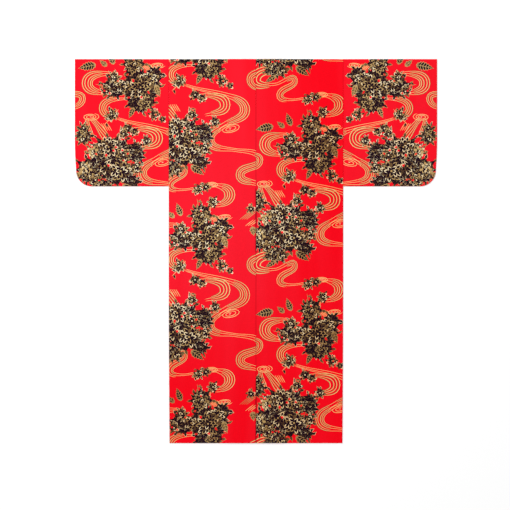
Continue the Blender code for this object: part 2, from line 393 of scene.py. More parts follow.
@dataclass
class Stream:
    """A band of flowing water: near-parallel lines that spread in its bends and close up between them.

    Where the band is narrow every second line stops, as if it ran into the next one.
    """

    bends: list[Bend]
    lines: int = 5
    seed: int = 0

    def sides(self) -> tuple[np.ndarray, np.ndarray]:
        """Offsets the band's sides from a smooth course through its bends.

        Returns:
            The samples of the left side and of the right side.
        """
        middle, widths = [], []
        for start, end in zip(self.bends, self.bends[1:]):
            fullness = BEND_FULLNESS * math.hypot(end.x - start.x, end.y - start.y)
            count = max(LEAST_SAMPLES, math.ceil(fullness / LINE_STEP))
            t = np.linspace(0.0, 1.0, count + 1)[:, None]
            if end is not self.bends[-1]:
                t = t[:-1]
            rise = soft_step(t)
            middle.append((1 - rise) * (start.x, start.y) + rise * (end.x, end.y)
                          + fullness * (t ** 3 - 2 * t ** 2 + t) * start.way()
                          + fullness * (t ** 3 - t ** 2) * end.way())
            widths.append((1 - rise) * start.width + rise * end.width)
        middle, widths = np.vstack(middle), np.vstack(widths)
        ahead = np.gradient(middle, axis=0)
        ahead /= np.linalg.norm(ahead, axis=1, keepdims=True)
        half = np.column_stack([ahead[:, 1], -ahead[:, 0]]) * widths / 2
        return middle + half, middle - half

    def roomy(self, spacing: np.ndarray) -> list[np.ndarray]:
        """Finds where the lines lie well apart.

        Args:
            spacing: How far apart they lie at each sample.

        Returns:
            The runs of samples.
        """
        places = np.flatnonzero(spacing > MERGE_ROOM)
        runs = np.split(places, np.flatnonzero(np.diff(places) > 1) + 1)
        return [np.arange(max(0, run[0] - 1), min(len(spacing), run[-1] + 2)) for run in runs if len(run) > 1]

    def patches(self) -> list[Patch]:
        """Draws every line of the band over its shadow.

        Returns:
            The regions, in painting order.
        """
        draw = random.Random(self.seed)
        left, right = self.sides()
        across = right - left
        spacing = np.linalg.norm(left - right, axis=1) / max(1, self.lines - 1)
        regions, shadows = [], []
        for index in range(self.lines):
            share = index / max(1, self.lines - 1)
            run_on = np.linspace(0, SWAY_RUN + SWAY_RUN_SPREAD * draw.random(), len(left))
            sway = np.sin(run_on + SWAY_START * draw.random())
            line = left + across * (share + SWAY_SHARE / self.lines * sway[:, None])
            for run in self.roomy(spacing):
                step = across[run] / (self.lines - 1) * SHADOW_SHIFT
                shadows.append(Patch(Dye.OLIVE, stroke(line[run] + step, tapered(line[run], SHADOW_LINE))))
            for run in self.roomy(spacing) if index % 2 else [np.arange(len(line))]:
                widths = np.clip(LINE_SHARE * spacing[run], *LINE_RANGE) * tapered(line[run], 1.0)
                regions.append(Patch(Dye.WATER, stroke(line[run], widths)))
        return shadows + regions


@dataclass
class Swirl:
    """An oval eddy of water: one line that winds inwards."""

    x: float
    y: float
    half_width: float
    half_height: float
    start: float = 0.4
    tilt: float = 0.0

    def patches(self) -> list[Patch]:
        """Draws the winding line and the fleck at its middle.

        Returns:
            The regions, in painting order.
        """
        share = np.linspace(0, 1, int(EDDY_TURN_SAMPLES * EDDY_TURNS))
        angle = self.start + share * EDDY_TURNS * TURN
        reach = 1 - EDDY_DEPTH * share ** EDDY_POWER
        line = np.column_stack([self.half_width * reach * np.cos(angle),
                                self.half_height * reach * np.sin(angle)])
        tilt = math.radians(self.tilt)
        return [Patch(Dye.WATER, turned(stroke(line, tapered(line, EDDY_LINE)), tilt, self.x, self.y)),
                Patch(Dye.CREAM, turned(EDDY_FLECK, tilt, self.x, self.y))]


class Bouquet(Enum):
    """How a bloom is coloured: petal edges and petal fills, each list drawn from at random, and heart."""

    DARK = ((Dye.CREAM, Dye.OLIVE, Dye.GOLD, Dye.CREAM), (Dye.PLUM,) * 14 + (Dye.OLIVE,), Dye.GOLD)
    SHADED = ((Dye.CREAM, Dye.GOLD, Dye.GOLD, Dye.OLIVE), (Dye.PLUM,) * 11 + (Dye.OLIVE,), Dye.CREAM)
    GOLDEN = ((Dye.GOLD, Dye.OLIVE, Dye.GOLD, Dye.CREAM), (Dye.PLUM,) * 8 + (Dye.OLIVE,), Dye.GOLD)
    PALE = ((Dye.CREAM, Dye.GOLD), (Dye.GOLD, Dye.PLUM, Dye.PLUM), Dye.CREAM)


def pointed(foot: Point, angle: float, length: float, width: float, edge: Dye, fill: Dye) -> list[Patch]:
    """A small pointed leaf with a pale edge and a dark fill.

    Args:
        foot: The place of its foot.
        angle: The way it points, in radians.
        length: Its length.
        width: Its width.
        edge: The dye of its edge.
        fill: The dye inside it.

    Returns:
        Its two regions.
    """
    widest = POINTED_WIDEST * length
    shape = np.array([(0.0, 0.0), (widest, -width / 2), (length, 0.0), (widest, width / 2)])
    shrink = (1 - POINTED_END_MARGIN / (length + POINTED_END_ROOM),
              1 - POINTED_SIDE_MARGIN / (width + POINTED_SIDE_ROOM))
    inner = shape * shrink + (POINTED_SHIFT, 0.0)
    return [Patch(edge, turned(shape, angle, *foot)), Patch(fill, turned(inner, angle, *foot))]


@dataclass
class Bloom:
    """A peony: a dark disc with a ragged rim, a spiral of pointed petals on it, and leaf tips round it.

    Attributes:
        x: Its middle, across.
        y: Its middle, down.
        radius: The disc's radius.
        kind: How it is coloured.
        cell: The size of a petal.
        seed: What its shape and its dyes are drawn from.
        gaps: The share of petals that show the ground.
        spikes: Whether leaf tips stick out round it.
    """

    x: float
    y: float
    radius: float
    kind: Bouquet = Bouquet.DARK
    cell: float = 3.2
    seed: int = 1
    gaps: float = 0.03
    spikes: bool = True

    def out(self, reach: float, angle: float) -> Point:
        """The place at a distance and an angle from the middle."""
        return self.x + reach * math.cos(angle), self.y + reach * math.sin(angle)

    def rim(self, draw: random.Random) -> np.ndarray:
        """Draws the ragged disc below the petals.

        Args:
            draw: What its points are drawn from.

        Returns:
            The disc's loop.
        """
        count = max(LEAST_POINTS, round(self.radius * RIM_POINTS))
        turn = draw.uniform(0, TURN)
        return np.array([self.out(self.radius * draw.uniform(*(RIM_NOTCH if step % 2 else RIM_POINT)),
                                  turn + math.pi * step / count) for step in range(2 * count)])

    def petal(self, length: float, width: float, edge: Dye, fill: Dye, draw: random.Random) -> list[Patch]:
        """One petal about its middle: a pointed line along its end, over a fill where it isn't dark.

        Args:
            length: The petal's length.
            width: The petal's width.
            edge: The dye of the line.
            fill: The dye of the petal.
            draw: What the line's width and lean are drawn from.

        Returns:
            The petal's regions.
        """
        thin, lean = EDGE_LINE * draw.uniform(*EDGE_SPREAD), draw.uniform(*PETAL_LEAN) * width
        end = [(along * length, across * width if across else lean) for along, across in PETAL_END]
        line = Patch(edge, np.array(end + [(PETAL_NOTCH * length - EDGE_DEPTH * thin, lean)]))
        if fill is Dye.PLUM:
            return [line]
        return [Patch(fill, np.array(end + [(PETAL_FOOT * length, 0.0)])), line]

    def tips(self, draw: random.Random) -> list[Patch]:
        """Draws the leaf tips that stick out round the disc.

        Args:
            draw: What they are drawn from.

        Returns:
            Their regions.
        """
        count = max(LEAST_POINTS, round(self.radius * TIP_COUNT))
        regions = []
        for index in range(count):
            angle = TURN * (index + draw.uniform(*TIP_JOG)) / count
            heading = angle + draw.uniform(*TIP_TURN)
            length = min(TIP_LONGEST, draw.uniform(*TIP_LENGTH) * self.radius)
            foot = self.out(self.radius * TIP_REACH, angle)
            regions += pointed(foot, heading, length, draw.uniform(*TIP_WIDTH),
                               draw.choice((Dye.GOLD, Dye.CREAM, Dye.OLIVE)), draw.choice(LEAF_FILLS))
        return regions

    def patches(self) -> list[Patch]:
        """Draws the leaf tips, the disc, the petals from the outermost in, and the heart.

        Returns:
            The regions, in painting order.
        """
        draw = random.Random(self.seed * SEED_STEP + int(self.radius * RADIUS_STEP))
        edges, fills, heart = self.kind.value
        pace = PETAL_SPACING * self.cell
        turn = draw.uniform(0, TURN)
        regions = self.tips(draw) if self.spikes else []
        regions.append(Patch(Dye.PLUM, self.rim(draw)))
        for index in range(int((PETALS_REACH * self.radius / pace) ** 2), 0, -1):
            reach, angle = pace * math.sqrt(index), turn + GOLDEN_ANGLE * index
            fill = Dye.GROUND if draw.random() < self.gaps else draw.choice(fills)
            length, width = self.cell * draw.uniform(*PETAL_LENGTH), self.cell * draw.uniform(*PETAL_WIDTH)
            lean = draw.uniform(*PETAL_TURN)
            for patch in self.petal(length, width, draw.choice(edges), fill, draw):
                leaned = turned(patch.loop, lean, reach, 0.0)
                regions.append(Patch(patch.dye, turned(leaned, angle, self.x, self.y)))
        size = HEART_SHARE * self.cell
        regions.append(Patch(heart, np.array([self.out(size, turn + i * math.pi / (HEART_CORNERS / 2))
                                              for i in range(HEART_CORNERS)])))
        return regions


@dataclass
class Thicket:
    """The mass of small leaves that a bouquet stands in: overlapping ovals with ragged edges.

    Attributes:
        ovals: Each oval's middle, half width and half height.
        cell: The size of a leaf.
        seed: What the edges and the leaves are drawn from.
        dyes: The leaves' dyes, drawn from at random.
    """

    ovals: list[tuple[float, float, float, float]]
    cell: float = 3.0
    seed: int = 1
    dyes: tuple[Dye, ...] = (Dye.CREAM, Dye.GOLD, Dye.OLIVE, Dye.GOLD)

    def patches(self) -> list[Patch]:
        """Draws the dark ovals and the pale leaf points on them.

        Returns:
            The regions, in painting order.
        """
        draw = random.Random(self.seed)
        bases = []
        for x, y, half_width, half_height in self.ovals:
            count = 2 * max(LEAST_OVAL_POINTS, round((half_width + half_height) * OVAL_POINTS))
            reach = [draw.uniform(*(OVAL_NOTCH if i % 2 else OVAL_POINT)) for i in range(count)]
            bases.append(np.array([(x + half_width * r * math.cos(TURN * i / count),
                                    y + half_height * r * math.sin(TURN * i / count))
                                   for i, r in enumerate(reach)]))
        low, high = np.min(np.vstack(bases), axis=0), np.max(np.vstack(bases), axis=0)
        jog = CELL_JOG * self.cell
        places = np.array([(x + (row % 2) * self.cell / 2 + draw.uniform(-jog, jog),
                            y + draw.uniform(-jog, jog))
                           for row, y in enumerate(np.arange(low[1], high[1], ROW_PACE * self.cell))
                           for x in np.arange(low[0], high[0], self.cell)])
        kept = np.any([inside(base, places) for base in bases], axis=0)
        regions = self.edge_leaves(bases, draw) + [Patch(Dye.PLUM, base) for base in bases]
        for x, y in places[kept]:
            angle = math.atan2(y - self.ovals[0][1], x - self.ovals[0][0]) + draw.uniform(*POINT_TURN)
            length, width = self.cell * draw.uniform(*POINT_LENGTH), self.cell * draw.uniform(*POINT_WIDTH)
            foot, side, tip = POINT_FOOT * length, POINT_SIDE * width, POINT_TIP * length
            point = np.array([(foot, -side), (tip, 0.0), (foot, side),
                              (tip - draw.uniform(*POINT_NOTCH), 0.0)])
            regions.append(Patch(draw.choice(self.dyes), turned(point, angle, x, y)))
        return regions

    def edge_leaves(self, bases: list[np.ndarray], draw: random.Random) -> list[Patch]:
        """Regions of the small leaves that stick out at the ovals' points.

        Args:
            bases: The ovals' loops.
            draw: What the leaves are drawn from.

        Returns:
            The regions of the leaves that no other oval covers.
        """
        regions = []
        for base, (x, y, _, _) in zip(bases, self.ovals):
            for place in base:
                if any(inside(other, place[None])[0] for other in bases if other is not base):
                    continue
                angle = math.atan2(place[1] - y, place[0] - x) + draw.uniform(*TIP_TURN)
                foot = (place[0] - EDGE_LEAF_INSET * math.cos(angle),
                        place[1] - EDGE_LEAF_INSET * math.sin(angle))
                length, width = draw.uniform(*EDGE_LEAF_LENGTH), draw.uniform(*EDGE_LEAF_WIDTH)
                regions += pointed(foot, angle, length, width, draw.choice((Dye.CREAM, Dye.GOLD, Dye.GOLD)),
                                   draw.choice(LEAF_FILLS))
        return regions


@dataclass
class Leaf:
    """A peony leaf: a pointed, toothed, dark blade with a pale edge, a midrib and veins."""

    x: float
    y: float
    length: float
    width: float
    angle: float
    edge: Dye = Dye.GOLD
    fill: Dye = Dye.PLUM

    def half_width(self, share: float) -> float:
        """Half the blade's width at a share of its length, from 0 at the stalk to 1 at the tip."""
        return self.width / 2 * BLADE_PEAK * share ** BLADE_FOOT_POWER * (1 - share) ** BLADE_TIP_POWER

    def patches(self) -> list[Patch]:
        """Draws the blade's edge and fill, the midrib and the veins.

        Returns:
            The regions, in painting order.
        """
        draw = random.Random(int(self.x * LEAF_SEED_STEPS[0] + self.y * LEAF_SEED_STEPS[1] + self.angle))
        teeth = max(LEAST_TEETH, round(self.length / TOOTH_STEP))
        run = teeth + TEETH_ROOM
        sides = []
        for side in (1, -1):
            margin = []
            for tooth in range(teeth):
                tip, notch = (tooth + TOOTH_TIP) / run, (tooth + TOOTH_NOTCH) / run
                margin.append((tip, side * self.half_width(tip) * draw.uniform(*TOOTH_OUT)))
                margin.append((notch, side * self.half_width(notch) * draw.uniform(*TOOTH_IN)))
            sides.append(margin)
        blade = np.array([(0.0, 0.0)] + sides[0] + [(BLADE_END, 0.0)] + sides[1][::-1])
        blade = (blade - (0.5, 0)) * (self.length, 1)
        inner = blade * (1 - BLADE_END_MARGIN / self.length, 1 - BLADE_SIDE_MARGIN / self.width)
        ribs = [np.array(MIDRIB)]
        for tooth in range(teeth - 1):
            foot = (tooth + VEIN_FOOT) / run
            end = foot + VEIN_RUN / run
            ribs += [np.array([(foot - 0.5, 0.0), (end - 0.5, side * VEIN_REACH * self.half_width(end))])
                     for side in (-1, 1)]
        heading = math.radians(self.angle)
        regions = [Patch(self.edge, turned(blade, heading, self.x, self.y)),
                   Patch(self.fill, turned(inner, heading, self.x, self.y))]
        for rib in ribs:
            line = turned(rib * (self.length, 1), heading, self.x, self.y)
            regions.append(Patch(self.edge, stroke(line, RIB_LINE)))
        return regions


@dataclass
class Sprig:
    """A thin stem with small pointed leaves on alternate sides."""

    line: list[Point]
    leaves: int = 4
    size: float = 1.5
    stem: Dye = Dye.GOLD
    seed: int = 3

    def patches(self) -> list[Patch]:
        """Draws the stem and its leaves.

        Returns:
            The regions, in painting order.
        """
        draw = random.Random(self.seed)
        line = smooth_line(self.line)
        ahead = np.gradient(line, axis=0)
        last = len(line) - 1
        regions = [Patch(self.stem, stroke(line, tapered(line, SPRIG_STEM)))]
        for index in range(self.leaves):
            place = min(last, int(round((index + SPRIG_START) / self.leaves * last)))
            side = SPRIG_SPREAD if index % 2 else -SPRIG_SPREAD
            heading = math.atan2(ahead[place, 1], ahead[place, 0]) + side
            size = self.size * draw.uniform(*SPRIG_SIZE)
            heading += draw.uniform(*SPRIG_TURN)
            regions += pointed(tuple(line[place]), heading, SPRIG_LENGTH * size, SPRIG_WIDTH * size,
                               draw.choice((Dye.CREAM, Dye.GOLD)), draw.choice(LEAF_FILLS))
        return regions


@dataclass
class Hatch:
    """A patch of short slanted lines, as in a turned petal."""

    x: float
    y: float
    width: float
    height: float
    slant: float = 0.5
    lines: int = 5
    dye: Dye = Dye.WATER

    def patches(self) -> list[Patch]:
        """Draws the slanted lines.

        Returns:
            Their regions.
        """
        regions = []
        for index in range(self.lines):
            across = -self.width / 2 + self.width * (index + 0.5) / self.lines
            lean = self.slant * self.height / 2
            line = np.array([(self.x + across - lean, self.y + self.height / 2),
                             (self.x + across, self.y), (self.x + across + lean, self.y - self.height / 2)])
            regions.append(Patch(self.dye, stroke(line, HATCH_WIDTHS)))
        return regions


# Water and bouquet round the first centre of the repeat
FIRST_WATER = [
    Stream([Bend(5, -50, 5, 2), Bend(25, -40, 90, 10), Bend(10, -30, 180, 4)], 5, 11),
    Stream([Bend(-20, -10, 180, 2), Bend(-50, 0, 90, 10), Bend(-30, 10, 5, 3)], 5, 12),
    Stream([Bend(-10, 15, 180, 2), Bend(-35, 25, 90, 7), Bend(-20, 35, 10, 3)], 4, 13),
    Stream([Bend(-20, 35, 20, 2), Bend(20, 45, 15, 4), Bend(40, 60, 90, 9), Bend(20, 75, 145, 5),
            Bend(5, 90, 85, 8), Bend(30, 100, 10, 3), Bend(55, 110, 90, 6), Bend(35, 125, 90, 8),
            Bend(55, 135, 30, 4)], 5, 14),
    Stream([Bend(-10, 45, 5, 2), Bend(20, 55, 90, 9), Bend(0, 65, 165, 3)], 4, 15),
    Stream([Bend(-70, 10, 5, 4), Bend(-55, 15, 90, 6), Bend(-70, 25, 175, 3)], 4, 17),
    Stream([Bend(-35, -75, 185, 6), Bend(-60, -65, 90, 10), Bend(-40, -60, -5, 3), Bend(-20, -65, 80, 5),
            Bend(-35, -50, 100, 6), Bend(-20, -45, -5, 2), Bend(5, -50, -5, 2)], 4, 18),
    Stream([Bend(60, 20, 150, 6), Bend(45, 30, 90, 6), Bend(60, 40, 0, 3)], 4, 20),
    Swirl(20, -18, 8, 3, tilt=-4),
    Swirl(25, 79, 12, 5, start=2.8, tilt=-12),
    Swirl(7, -50, 7, 3, start=2.8),
    Hatch(11, -16, 10, 7, -0.9, 6),
    Hatch(3, -24, 5, 9, 0.2, 4),
    Hatch(44, -20, 9, 9, 1.3, 4, Dye.GOLD),
    Hatch(47, -12, 8, 6, 1.3, 3, Dye.WATER),
]
FIRST_BOUQUET = [
    Thicket([(3, 3, 21, 17), (-4, -19, 11, 13), (-22, 4, 14, 11), (3, 19, 15, 10), (17, -9, 8, 8)], 3.2, 71,
            (Dye.GOLD, Dye.OLIVE, Dye.OLIVE, Dye.CREAM)),
    Leaf(-50, -17, 17, 8, 168),
    Leaf(-26, -25, 13, 6, 250),
    Leaf(-34, -20, 9, 5, 220, Dye.GOLD, Dye.OLIVE),
    Leaf(-6, 29, 11, 5, 115),
    Leaf(20, 7, 12, 6, 70, Dye.GOLD, Dye.OLIVE),
    Leaf(48, -4, 9, 6, 80, Dye.GOLD, Dye.OLIVE),
    Sprig([(-8, -36), (-7, -30), (-9, -24)], 3, 1.4, Dye.GOLD, 4),
    Sprig([(-19, 26), (-25, 33), (-33, 41)], 5, 2.0, Dye.WATER, 5),
    Sprig([(-42, 1), (-37, 2), (-31, 5)], 5, 1.7, Dye.GOLD, 12),
    Bloom(46, -26, 4, Bouquet.SHADED, 2.6, 20),
    Bloom(-7, -46, 5, Bouquet.DARK, 2.6, 21),
    Bloom(1, -48, 4, Bouquet.SHADED, 2.6, 44),
    Bloom(8, -33, 5, Bouquet.SHADED, 2.6, 22),
    Bloom(-10, 45, 5, Bouquet.SHADED, 2.6, 23),
    Bloom(-3, 48, 4, Bouquet.DARK, 2.6, 45),
    Bloom(-26, 31, 6, Bouquet.SHADED, 2.6, 24, 0.09),
    Bloom(17, 31, 5, Bouquet.GOLDEN, 2.6, 25),
    Bloom(25, 36, 3, Bouquet.GOLDEN, 2.6, 46),
    Bloom(-31, 8, 5, Bouquet.SHADED, 2.8, 26, 0.08),
    Bloom(-23, -6, 6, Bouquet.SHADED, 2.8, 29, 0.08),
    Bloom(-4, -18, 8, Bouquet.GOLDEN, 2.8, 30, 0.05, False),
    Bloom(7, 20, 6, Bouquet.GOLDEN, 2.8, 31, 0.08, False),
    Bloom(13, -5, 7, Bouquet.GOLDEN, 3.3, 33, 0.03, False),
    Bloom(-14, 3, 7, Bouquet.DARK, 2.9, 34, 0.03, False),
    Bloom(3, 4, 12, Bouquet.GOLDEN, 3.6, 35, 0.04, False),
]

# Water and bouquet round the second centre of the repeat
SECOND_WATER = [
    Stream([Bend(-20, -40, 50, 4), Bend(-5, -20, 55, 7)], 4, 41),
    Stream([Bend(-25, -40, 90, 3), Bend(-20, -20, 90, 4)], 3, 43),
    Swirl(-21, -41, 9, 4, start=5.2),
    Hatch(-5, -31, 8, 7, -0.6, 4),
]
SECOND_BOUQUET = [
    Thicket([(1, -6, 24, 17), (-21, 12, 15, 14), (6, 14, 20, 13), (-28, -22, 8, 8), (25, -5, 8, 11),
             (-10, 29, 12, 9), (20, 24, 8, 8)], 3.2, 72, (Dye.CREAM, Dye.GOLD, Dye.OLIVE, Dye.CREAM)),
    Leaf(17, 31, 15, 7, 36),
    Leaf(-14, 39, 12, 5, 148),
    Leaf(-35, 18, 10, 5, 130, Dye.GOLD, Dye.OLIVE),
    Sprig([(12, -20), (10, -26), (12, -32)], 4, 1.8, Dye.GOLD, 9),
    Sprig([(20, 4), (27, 7), (29, 12)], 4, 1.7, Dye.GOLD, 11),
    Bloom(-28, -30, 5, Bouquet.SHADED, 2.6, 50),
    Bloom(-28, -19, 5, Bouquet.SHADED, 2.8, 51, 0.08),
    Bloom(12, -24, 5, Bouquet.SHADED, 2.6, 53, 0.08),
    Bloom(-26, 11, 6, Bouquet.PALE, 2.8, 54, 0.06),
    Bloom(-16, 22, 7, Bouquet.SHADED, 2.8, 55, 0.06, False),
    Bloom(-3, 31, 5, Bouquet.SHADED, 2.6, 56, 0.05),
    Bloom(35, -17, 5, Bouquet.SHADED, 2.6, 57, 0.0),
    Bloom(-19, -7, 6, Bouquet.PALE, 2.8, 60, 0.06),
    Bloom(24, 9, 6, Bouquet.SHADED, 2.8, 63, 0.08),
    Bloom(-3, -11, 10, Bouquet.DARK, 3.5, 65, 0.04, False),
    Bloom(12, -3, 7, Bouquet.SHADED, 2.9, 66, 0.05, False),
    Bloom(-7, 8, 7, Bouquet.DARK, 3.5, 67, 0.04, False),
    Bloom(9, 13, 10, Bouquet.DARK, 4.0, 68, 0.0, False),
]
# The water and the bouquets of each centre: on the back, and with plainer blooms on the front
BACK_MOTIFS = [(drawn(FIRST_WATER), drawn(FIRST_BOUQUET)), (drawn(SECOND_WATER), drawn(SECOND_BOUQUET))]
FRONT_MOTIFS = [(water, drawn(bouquet, FRONT_GROWTH)) for (water, _), bouquet in
                zip(BACK_MOTIFS, (FIRST_BOUQUET, SECOND_BOUQUET))]


@dataclass
class PrintedCloth:
    """The printed cotton: where each centre of the repeat falls on a strip of it."""

    first: Point
    second: Point
    mirrored: bool = False

    def patches(self, low: Point, high: Point) -> list[tuple[Dye, np.ndarray]]:
        """Regions of the print that reach a stretch of flat cloth.

        Args:
            low: The stretch's lowest x and w, in metres.
            high: The stretch's highest x and w.

        Returns:
            Each region's dye and its counter-clockwise loop in metres, in painting order.
        """
        regions = []
        for part in (0, 1):
            for index, centre in enumerate((self.first, self.second)):
                for row in REPEAT_ROWS:
                    on_front = centre[1] + row * REPEAT < SHOULDER_UNIT - MOTIF_REACH
                    motifs = FRONT_MOTIFS if on_front else BACK_MOTIFS
                    regions.append((centre, row, motifs[index][part]))
        placed = []
        for (x, y), row, patches in regions:
            for patch in patches:
                loop = (patch.loop + (x, y + row * REPEAT) - (MIDDLE_UNIT, SHOULDER_UNIT)) * (UNIT, -UNIT)
                if self.mirrored:
                    loop = loop * (-1, 1)
                if (loop.max(axis=0) > low).all() and (loop.min(axis=0) < high).all():
                    placed.append((patch.dye, loop if loop_area(loop) > 0 else loop[::-1]))
        return placed


def loop_area(loop: np.ndarray) -> float:
    """Area inside a loop, above zero where it runs counter-clockwise."""
    ahead = np.roll(loop, -1, axis=0)
    return float((loop[:, 0] * ahead[:, 1] - ahead[:, 0] * loop[:, 1]).sum() / 2)


def divided(points: list[Point], step: float) -> list[Point]:
    """Adds points along the stretches of a closed loop.

    Args:
        points: The loop's corners.
        step: The longest spacing.

    Returns:
        The corners and the points between them.
    """
    dense = []
    for start, end in zip(points, points[1:] + points[:1]):
        count = max(1, round(math.dist(start, end) / step))
        dense += [(start[0] + (end[0] - start[0]) * i / count, start[1] + (end[1] - start[1]) * i / count)
                  for i in range(count)]
    return dense


def inset(loop: list[Point], distance: float) -> np.ndarray:
    """Moves a counter-clockwise loop inwards, with its corners kept sharp.

    Args:
        loop: The loop's corners.
        distance: How far it moves.

    Returns:
        The moved corners.
    """
    points = np.array(loop)
    before = points - np.roll(points, 1, axis=0)
    after = np.roll(points, -1, axis=0) - points
    before /= np.linalg.norm(before, axis=1, keepdims=True)
    after /= np.linalg.norm(after, axis=1, keepdims=True)
    normal = np.column_stack([-before[:, 1] - after[:, 1], before[:, 0] + after[:, 0]])
    length = np.maximum(np.linalg.norm(normal, axis=1, keepdims=True), SHORTEST)
    normal /= length
    slack = np.maximum(length / 2, SHARPEST_CORNER)
    return points + normal * distance / slack


def distance_to(line: list[Point], points: np.ndarray) -> np.ndarray:
    """Measures how far points lie from an open line.

    Args:
        line: The line's corners.
        points: The points.

    Returns:
        The least distance of each point.
    """
    nearest = np.full(len(points), np.inf)
    for start, end in zip(line, line[1:]):
        a, run = np.array(start), np.array(end) - np.array(start)
        along = np.clip(((points - a) @ run) / (run @ run), 0, 1)
        nearest = np.minimum(nearest, np.linalg.norm(points - a - along[:, None] * run, axis=1))
    return nearest


def in_scene(name: str, data: bpy.types.ID) -> bpy.types.Object:
    """Adds a new object to the scene.

    Args:
        name: Its name.
        data: Its mesh, light or camera.

    Returns:
        The object, at the origin.
    """
    item = bpy.data.objects.new(name, data)
    bpy.context.scene.collection.objects.link(item)
    return item


class Solid:
    """A piece of the frame, to be measured with straight lines up and down."""

    def __init__(self, name: str) -> None:
        """Args: name: The node's name."""
        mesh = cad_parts[name].data
        self.tree = BVHTree.FromPolygons([v.co for v in mesh.vertices], [p.vertices for p in mesh.polygons])

    def top(self, x: float, y: float) -> float | None:
        """Height of the highest face over a place."""
        hit = self.tree.ray_cast(Vector((x, y, PROBE_HEIGHT)), Vector((0, 0, -1)))[0]
        return None if hit is None else hit.z

    def underside(self, x: float, y: float, passed: int = 0) -> float | None:
        """Height of the lowest face over a place, or of one above it.

        Args:
            x: The place across.
            y: The place along.
            passed: How many faces from below are passed over.

        Returns:
            The height, or None where there is no such face.
        """
        start = -PROBE_HEIGHT
        for _ in range(passed + 1):
            hit = self.tree.ray_cast(Vector((x, y, start)), Vector((0, 0, 1)))[0]
            if hit is None:
                return None
            start = hit.z + SAME_PLACE
        return hit.z


class HeightField:
    """Heights over a plan, sampled on a grid, filled past the edges and smoothed."""

    def __init__(self, probe: Callable[[float, float], float | None], low: Point, high: Point) -> None:
        """Samples the heights.

        Args:
            probe: Gives the height at x, y, or None.
            low: The plan's lowest x and y.
            high: The plan's highest x and y.
        """
        self.low = np.array(low) + SAMPLE_INSET
        spans = np.array(high) - SAMPLE_INSET - self.low
        self.counts = np.maximum(2, np.ceil(spans / SAMPLE_STEP).astype(int) + 1)
        self.steps = spans / (self.counts - 1)
        grid = np.full(self.counts, np.nan)
        for i in range(self.counts[0]):
            for j in range(self.counts[1]):
                height = probe(*(self.low + (i, j) * self.steps))
                if height is not None:
                    grid[i, j] = height
        self.grid = self.smoothed(self.filled(grid))

    @staticmethod
    def neighbours(grid: np.ndarray) -> np.ndarray:
        """Gathers the nine values round each sample, with the border repeated.

        Args:
            grid: The samples.

        Returns:
            The grids of the nine values.
        """
        wide = np.pad(grid, 1, mode="edge")
        rows, columns = grid.shape
        return np.stack([wide[i:i + rows, j:j + columns] for i in range(3) for j in range(3)])

    def filled(self, grid: np.ndarray) -> np.ndarray:
        """Fills empty samples from the ones beside them.

        Args:
            grid: The samples, some of them empty.

        Returns:
            The full grid.
        """
        while np.isnan(grid).any():
            around = self.neighbours(grid)
            known = ~np.isnan(around)
            total = np.where(known, around, 0.0).sum(axis=0)
            mean = total / np.maximum(1, known.sum(axis=0))
            reached = np.isnan(grid) & known.any(axis=0)
            grid = np.where(reached, mean, grid)
        return grid

    def smoothed(self, grid: np.ndarray) -> np.ndarray:
        """Softens the steps between samples.

        Args:
            grid: The samples.

        Returns:
            The softened grid.
        """
        for _ in range(SMOOTHING_PASSES):
            grid = self.neighbours(grid).mean(axis=0)
        return grid

    def at(self, x: np.ndarray, y: np.ndarray) -> np.ndarray:
        """Finds heights between the samples.

        Args:
            x: The places across.
            y: The places along.

        Returns:
            The height at each place.
        """
        place = (np.column_stack([x, y]) - self.low) / self.steps
        place = np.clip(place, 0, self.counts - GRID_END)
        i, j = place.astype(int).T
        s, t = (place - np.floor(place)).T
        grid = self.grid
        return ((1 - s) * (1 - t) * grid[i, j] + s * (1 - t) * grid[i + 1, j]
                + (1 - s) * t * grid[i, j + 1] + s * t * grid[i + 1, j + 1])


@dataclass(frozen=True)
class Crease:
    """A soft ridge or trough in the back of the garment."""

    x: float
    y: float
    half_width: float
    half_length: float
    lean: float
    height: float

    def rise(self, x: np.ndarray, y: np.ndarray) -> np.ndarray:
        """Finds how far it lifts the cloth.

        Args:
            x: The places across.
            y: The places along.

        Returns:
            The rise at each place.
        """
        along = (y - self.y) / self.half_length
        across = (x - self.x - self.lean * (y - self.y)) / self.half_width
        near = (np.abs(along) < 1) & (np.abs(across) < 1)
        shape = np.cos(np.pi / 2 * np.clip(along, -1, 1)) * np.cos(np.pi / 2 * np.clip(across, -1, 1)) ** 2
        return np.where(near, self.height * shape, 0.0)


